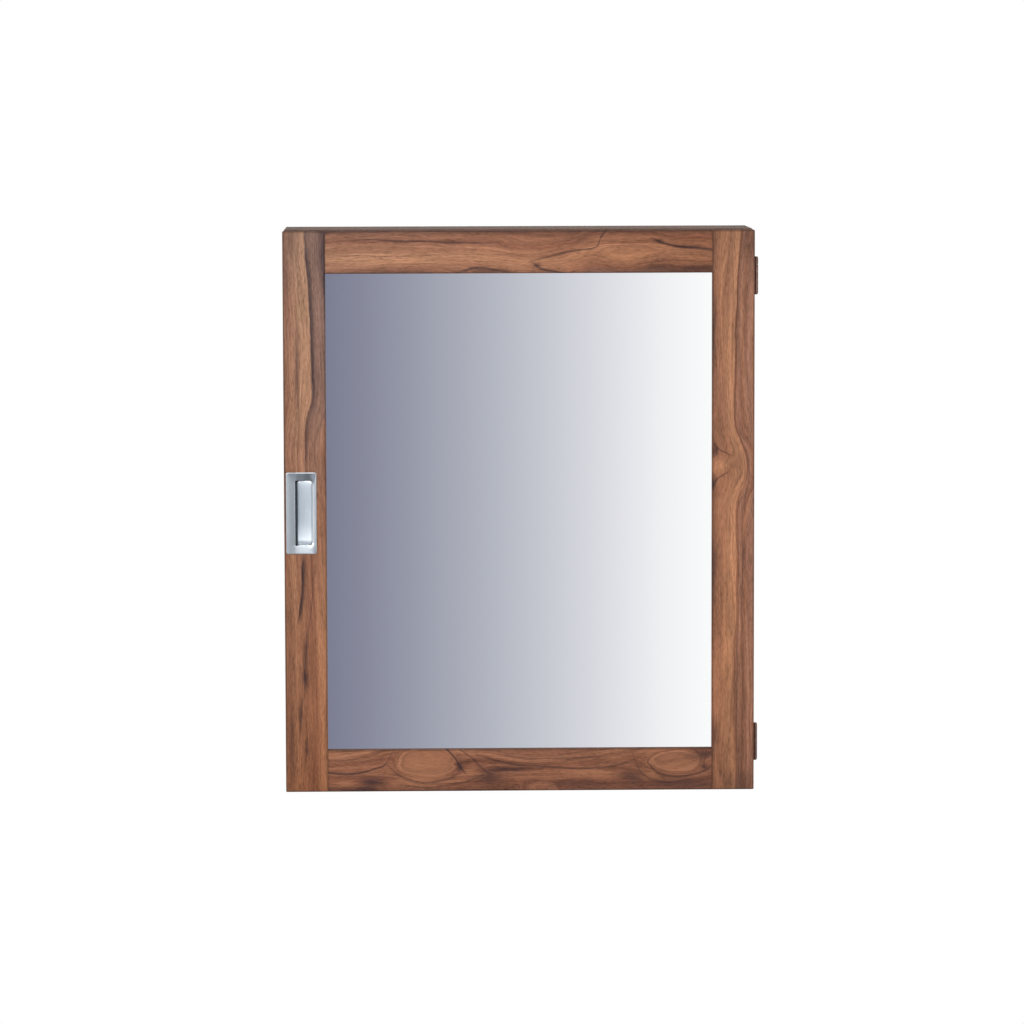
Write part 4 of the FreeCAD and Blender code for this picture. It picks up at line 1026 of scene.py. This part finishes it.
def polished_pull():
    """The cast pull as it leaves the polishing wheel: soft mitres in its dish and a pillowed grip."""
    low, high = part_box("flush_pull")
    middle = (low.z + high.z) / 2
    width, thick, height = MILLIMETRES * (high - low)

    def place(point):
        """A point of the pull in the frame."""
        across, depth, up = point
        return low.x + across / MILLIMETRES, low.y + depth / MILLIMETRES, middle + up / MILLIMETRES

    form = bmesh.new()
    plate = Ring(0, width, height / 2, PLATE_ROUND, PLATE_ROUND)
    add_rings(form, back_rings(plate) + front_rings(plate) + cup_rings(), place)
    for end in (-1, 1):
        add_rings(form, boss_rings(thick, end * BOSS_UP), place)
    bmesh.ops.remove_doubles(form, verts=form.verts, dist=WELD)
    bmesh.ops.recalc_face_normals(form, faces=form.faces)
    for face in form.faces:
        face.smooth = True
    mesh = bpy.data.meshes.new("flush_pull_polished")
    form.to_mesh(mesh)
    form.free()
    mesh.materials.append(satin_nickel())
    piece = bpy.data.objects.new("flush_pull_polished", mesh)
    scene.collection.objects.link(piece)
    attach(piece, "door")
    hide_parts("flush_pull")


# Studio, in metres and degrees

CAMERA_PLACE = (-0.1193, -4.9404, 0.4611)
CAMERA_YAW = 1.323
CAMERA_PITCH = 5.458
CAMERA_ROLL = -0.151
CAMERA_RANGE = 60
# Lens and width of the picture in the camera, in millimetres
CAMERA_LENS = 160.2
CAMERA_WIDTH = 36
WHITE = (1, 1, 1, 1)
AMBIENT = 0.38
# Lamps: name, place, size and power in watts
LAMPS = (
    ("key", (-2.0, -3.0, 1.6), 1.8, 78),
    ("fill", (2.4, -2.8, 0.6), 1.8, 38),
    ("top", (0.2, -0.6, 2.6), 1.4, 20),
)
LAMP_AIM = (0, -0.1, 0)
FLOOR_DROP = 0.6
FLOOR_RADIUS = 1.35
FLOOR_STEPS = 64
FLOOR_TONE = (0.86, 0.86, 0.86, 1)
# Where the floor starts to fade and where it is gone: its radius squared, as a share of the whole
FLOOR_FADE = (0.1, 0.9)
SURROUND_RADIUS = 8.0
SURROUND_LEVELS = (-5.4, 4.5)
SURROUND_REACH = 110
SURROUND_STEPS = 96
# What the mirror and the metal see in front of the door: bearing to the right, and red, green and blue
SURROUND_TONES = (
    (-110, 235, 236, 240), (-46, 255, 255, 255), (-36, 216, 222, 230), (-27, 172, 188, 206),
    (-18, 150, 155, 170), (-9, 122, 124, 144), (-4, 118, 119, 140), (-2.4, 125, 127, 147),
    (-0.72, 155, 157, 172), (1.28, 189, 192, 201), (3.27, 227, 226, 232), (4.9, 254, 254, 254),
    (6.2, 254, 254, 254), (8.5, 228, 233, 238), (12, 180, 189, 196), (17, 146, 156, 164),
    (30, 160, 168, 176), (60, 225, 228, 230), (110, 240, 240, 242),
)
# Above and below the mirror's view the surround turns to one tone: elevation where that starts and ends
SURROUND_ABOVE = (1.0, 8.0, srgb(250, 251, 253))
SURROUND_BELOW = (-11.5, -18.0, srgb(150, 154, 164))


def make_camera():
    """The camera at the photograph's viewing point."""
    data = bpy.data.cameras.new("camera")
    data.lens = CAMERA_LENS
    data.sensor_width = CAMERA_WIDTH
    data.clip_end = CAMERA_RANGE
    camera = bpy.data.objects.new("camera", data)
    scene.collection.objects.link(camera)
    turn = Matrix.Rotation(math.radians(-CAMERA_YAW), 4, "Z")
    tilt = Matrix.Rotation(math.radians(90 - CAMERA_PITCH), 4, "X")
    roll = Matrix.Rotation(math.radians(CAMERA_ROLL), 4, "Z")
    camera.matrix_world = Matrix.Translation(CAMERA_PLACE) @ turn @ tilt @ roll
    scene.camera = camera


def seen_white(graph):
    """One for camera, glossy and transmitted rays, which see the white background."""
    path = graph.node("LightPath").outputs
    seen = graph.math("MAXIMUM", path["Is Camera Ray"], path["Is Glossy Ray"])
    return graph.math("MAXIMUM", seen, path["Is Transmission Ray"])


def make_world():
    """A white background, and a plain even light on the object."""
    scene.world = bpy.data.worlds.new("studio")
    graph = Graph(scene.world)
    even = graph.shader("Background", Color=WHITE, Strength=AMBIENT)
    white = graph.shader("Background", Color=WHITE, Strength=1.0)
    graph.finish(graph.blend(seen_white(graph), even, white), "OutputWorld")


def make_lamp(name, place, size, power):
    """A square soft lamp."""
    data = bpy.data.lights.new(name, "AREA")
    data.shape = "SQUARE"
    data.size = size
    data.energy = power
    lamp = bpy.data.objects.new(name, data)
    lamp.location = place
    lamp.rotation_euler = (Vector(LAMP_AIM) - Vector(place)).to_track_quat("-Z", "Y").to_euler()
    scene.collection.objects.link(lamp)


def make_floor():
    """A pale round floor well below the hung cabinet, which fades into the white background."""
    height = cad_box[0].z - FLOOR_DROP
    turns = [2 * math.pi * step / FLOOR_STEPS for step in range(FLOOR_STEPS)]
    places = [(FLOOR_RADIUS * math.cos(turn), FLOOR_RADIUS * math.sin(turn), height) for turn in turns]
    mesh = bpy.data.meshes.new("floor")
    mesh.from_pydata(places, [], [tuple(range(FLOOR_STEPS))])
    floor = bpy.data.objects.new("floor", mesh)
    scene.collection.objects.link(floor)
    graph = material_graph("floor")
    size = (1 / FLOOR_RADIUS, 1 / FLOOR_RADIUS, 0)
    flat = graph.vector("MULTIPLY", graph.coordinate("Object"), size)
    edge = graph.spread(graph.vector("DOT_PRODUCT", flat, flat), *FLOOR_FADE, smooth=True)
    matt = graph.shader("BsdfDiffuse", Color=FLOOR_TONE)
    white = graph.shader("Emission", Color=WHITE, Strength=1.0)
    share = graph.times(edge, seen_white(graph))
    mesh.materials.append(graph.finish(graph.blend(share, matt, white)))


def surround_glow():
    """The surround's light: tones by bearing, turning to one tone above and below."""
    graph = material_graph("surround")
    parts = graph.parts(graph.coordinate("Object"))
    back = graph.times(parts["Y"], -1.0)
    bearing = graph.math("DEGREES", graph.math("ARCTAN2", parts["X"], back))
    share = graph.spread(bearing, -SURROUND_REACH, SURROUND_REACH)
    stops = [((at + SURROUND_REACH) / (2 * SURROUND_REACH), srgb(*tone)) for at, *tone in SURROUND_TONES]
    colour = graph.ramp(share, stops, "LINEAR")
    slope = graph.math("DIVIDE", parts["Z"], SURROUND_RADIUS)
    rise = graph.math("DEGREES", graph.math("ARCTANGENT", slope))
    for start, end, tone in (SURROUND_ABOVE, SURROUND_BELOW):
        colour = graph.mix(graph.spread(rise, start, end, smooth=True), colour, tone)
    return graph.finish(graph.shader("Emission", Color=colour, Strength=1.0))


def make_surround():
    """A curved card round the front that only reflections see."""
    places = []
    for step in range(SURROUND_STEPS + 1):
        bearing = math.radians(SURROUND_REACH * (2 * step / SURROUND_STEPS - 1))
        across, away = SURROUND_RADIUS * math.sin(bearing), -SURROUND_RADIUS * math.cos(bearing)
        places += [(across, away, height) for height in SURROUND_LEVELS]
    faces = [(2 * s, 2 * s + 1, 2 * s + 3, 2 * s + 2) for s in range(SURROUND_STEPS)]
    mesh = bpy.data.meshes.new("surround")
    mesh.from_pydata(places, [], faces)
    mesh.materials.append(surround_glow())
    card = bpy.data.objects.new("surround", mesh)
    scene.collection.objects.link(card)
    card.visible_camera = False
    card.visible_diffuse = False
    card.visible_shadow = False


dress_all()
polished_pull()
make_camera()
make_world()
make_floor()
make_surround()
for lamp in LAMPS:
    make_lamp(*lamp)
scene.view_settings.view_transform = "Standard"
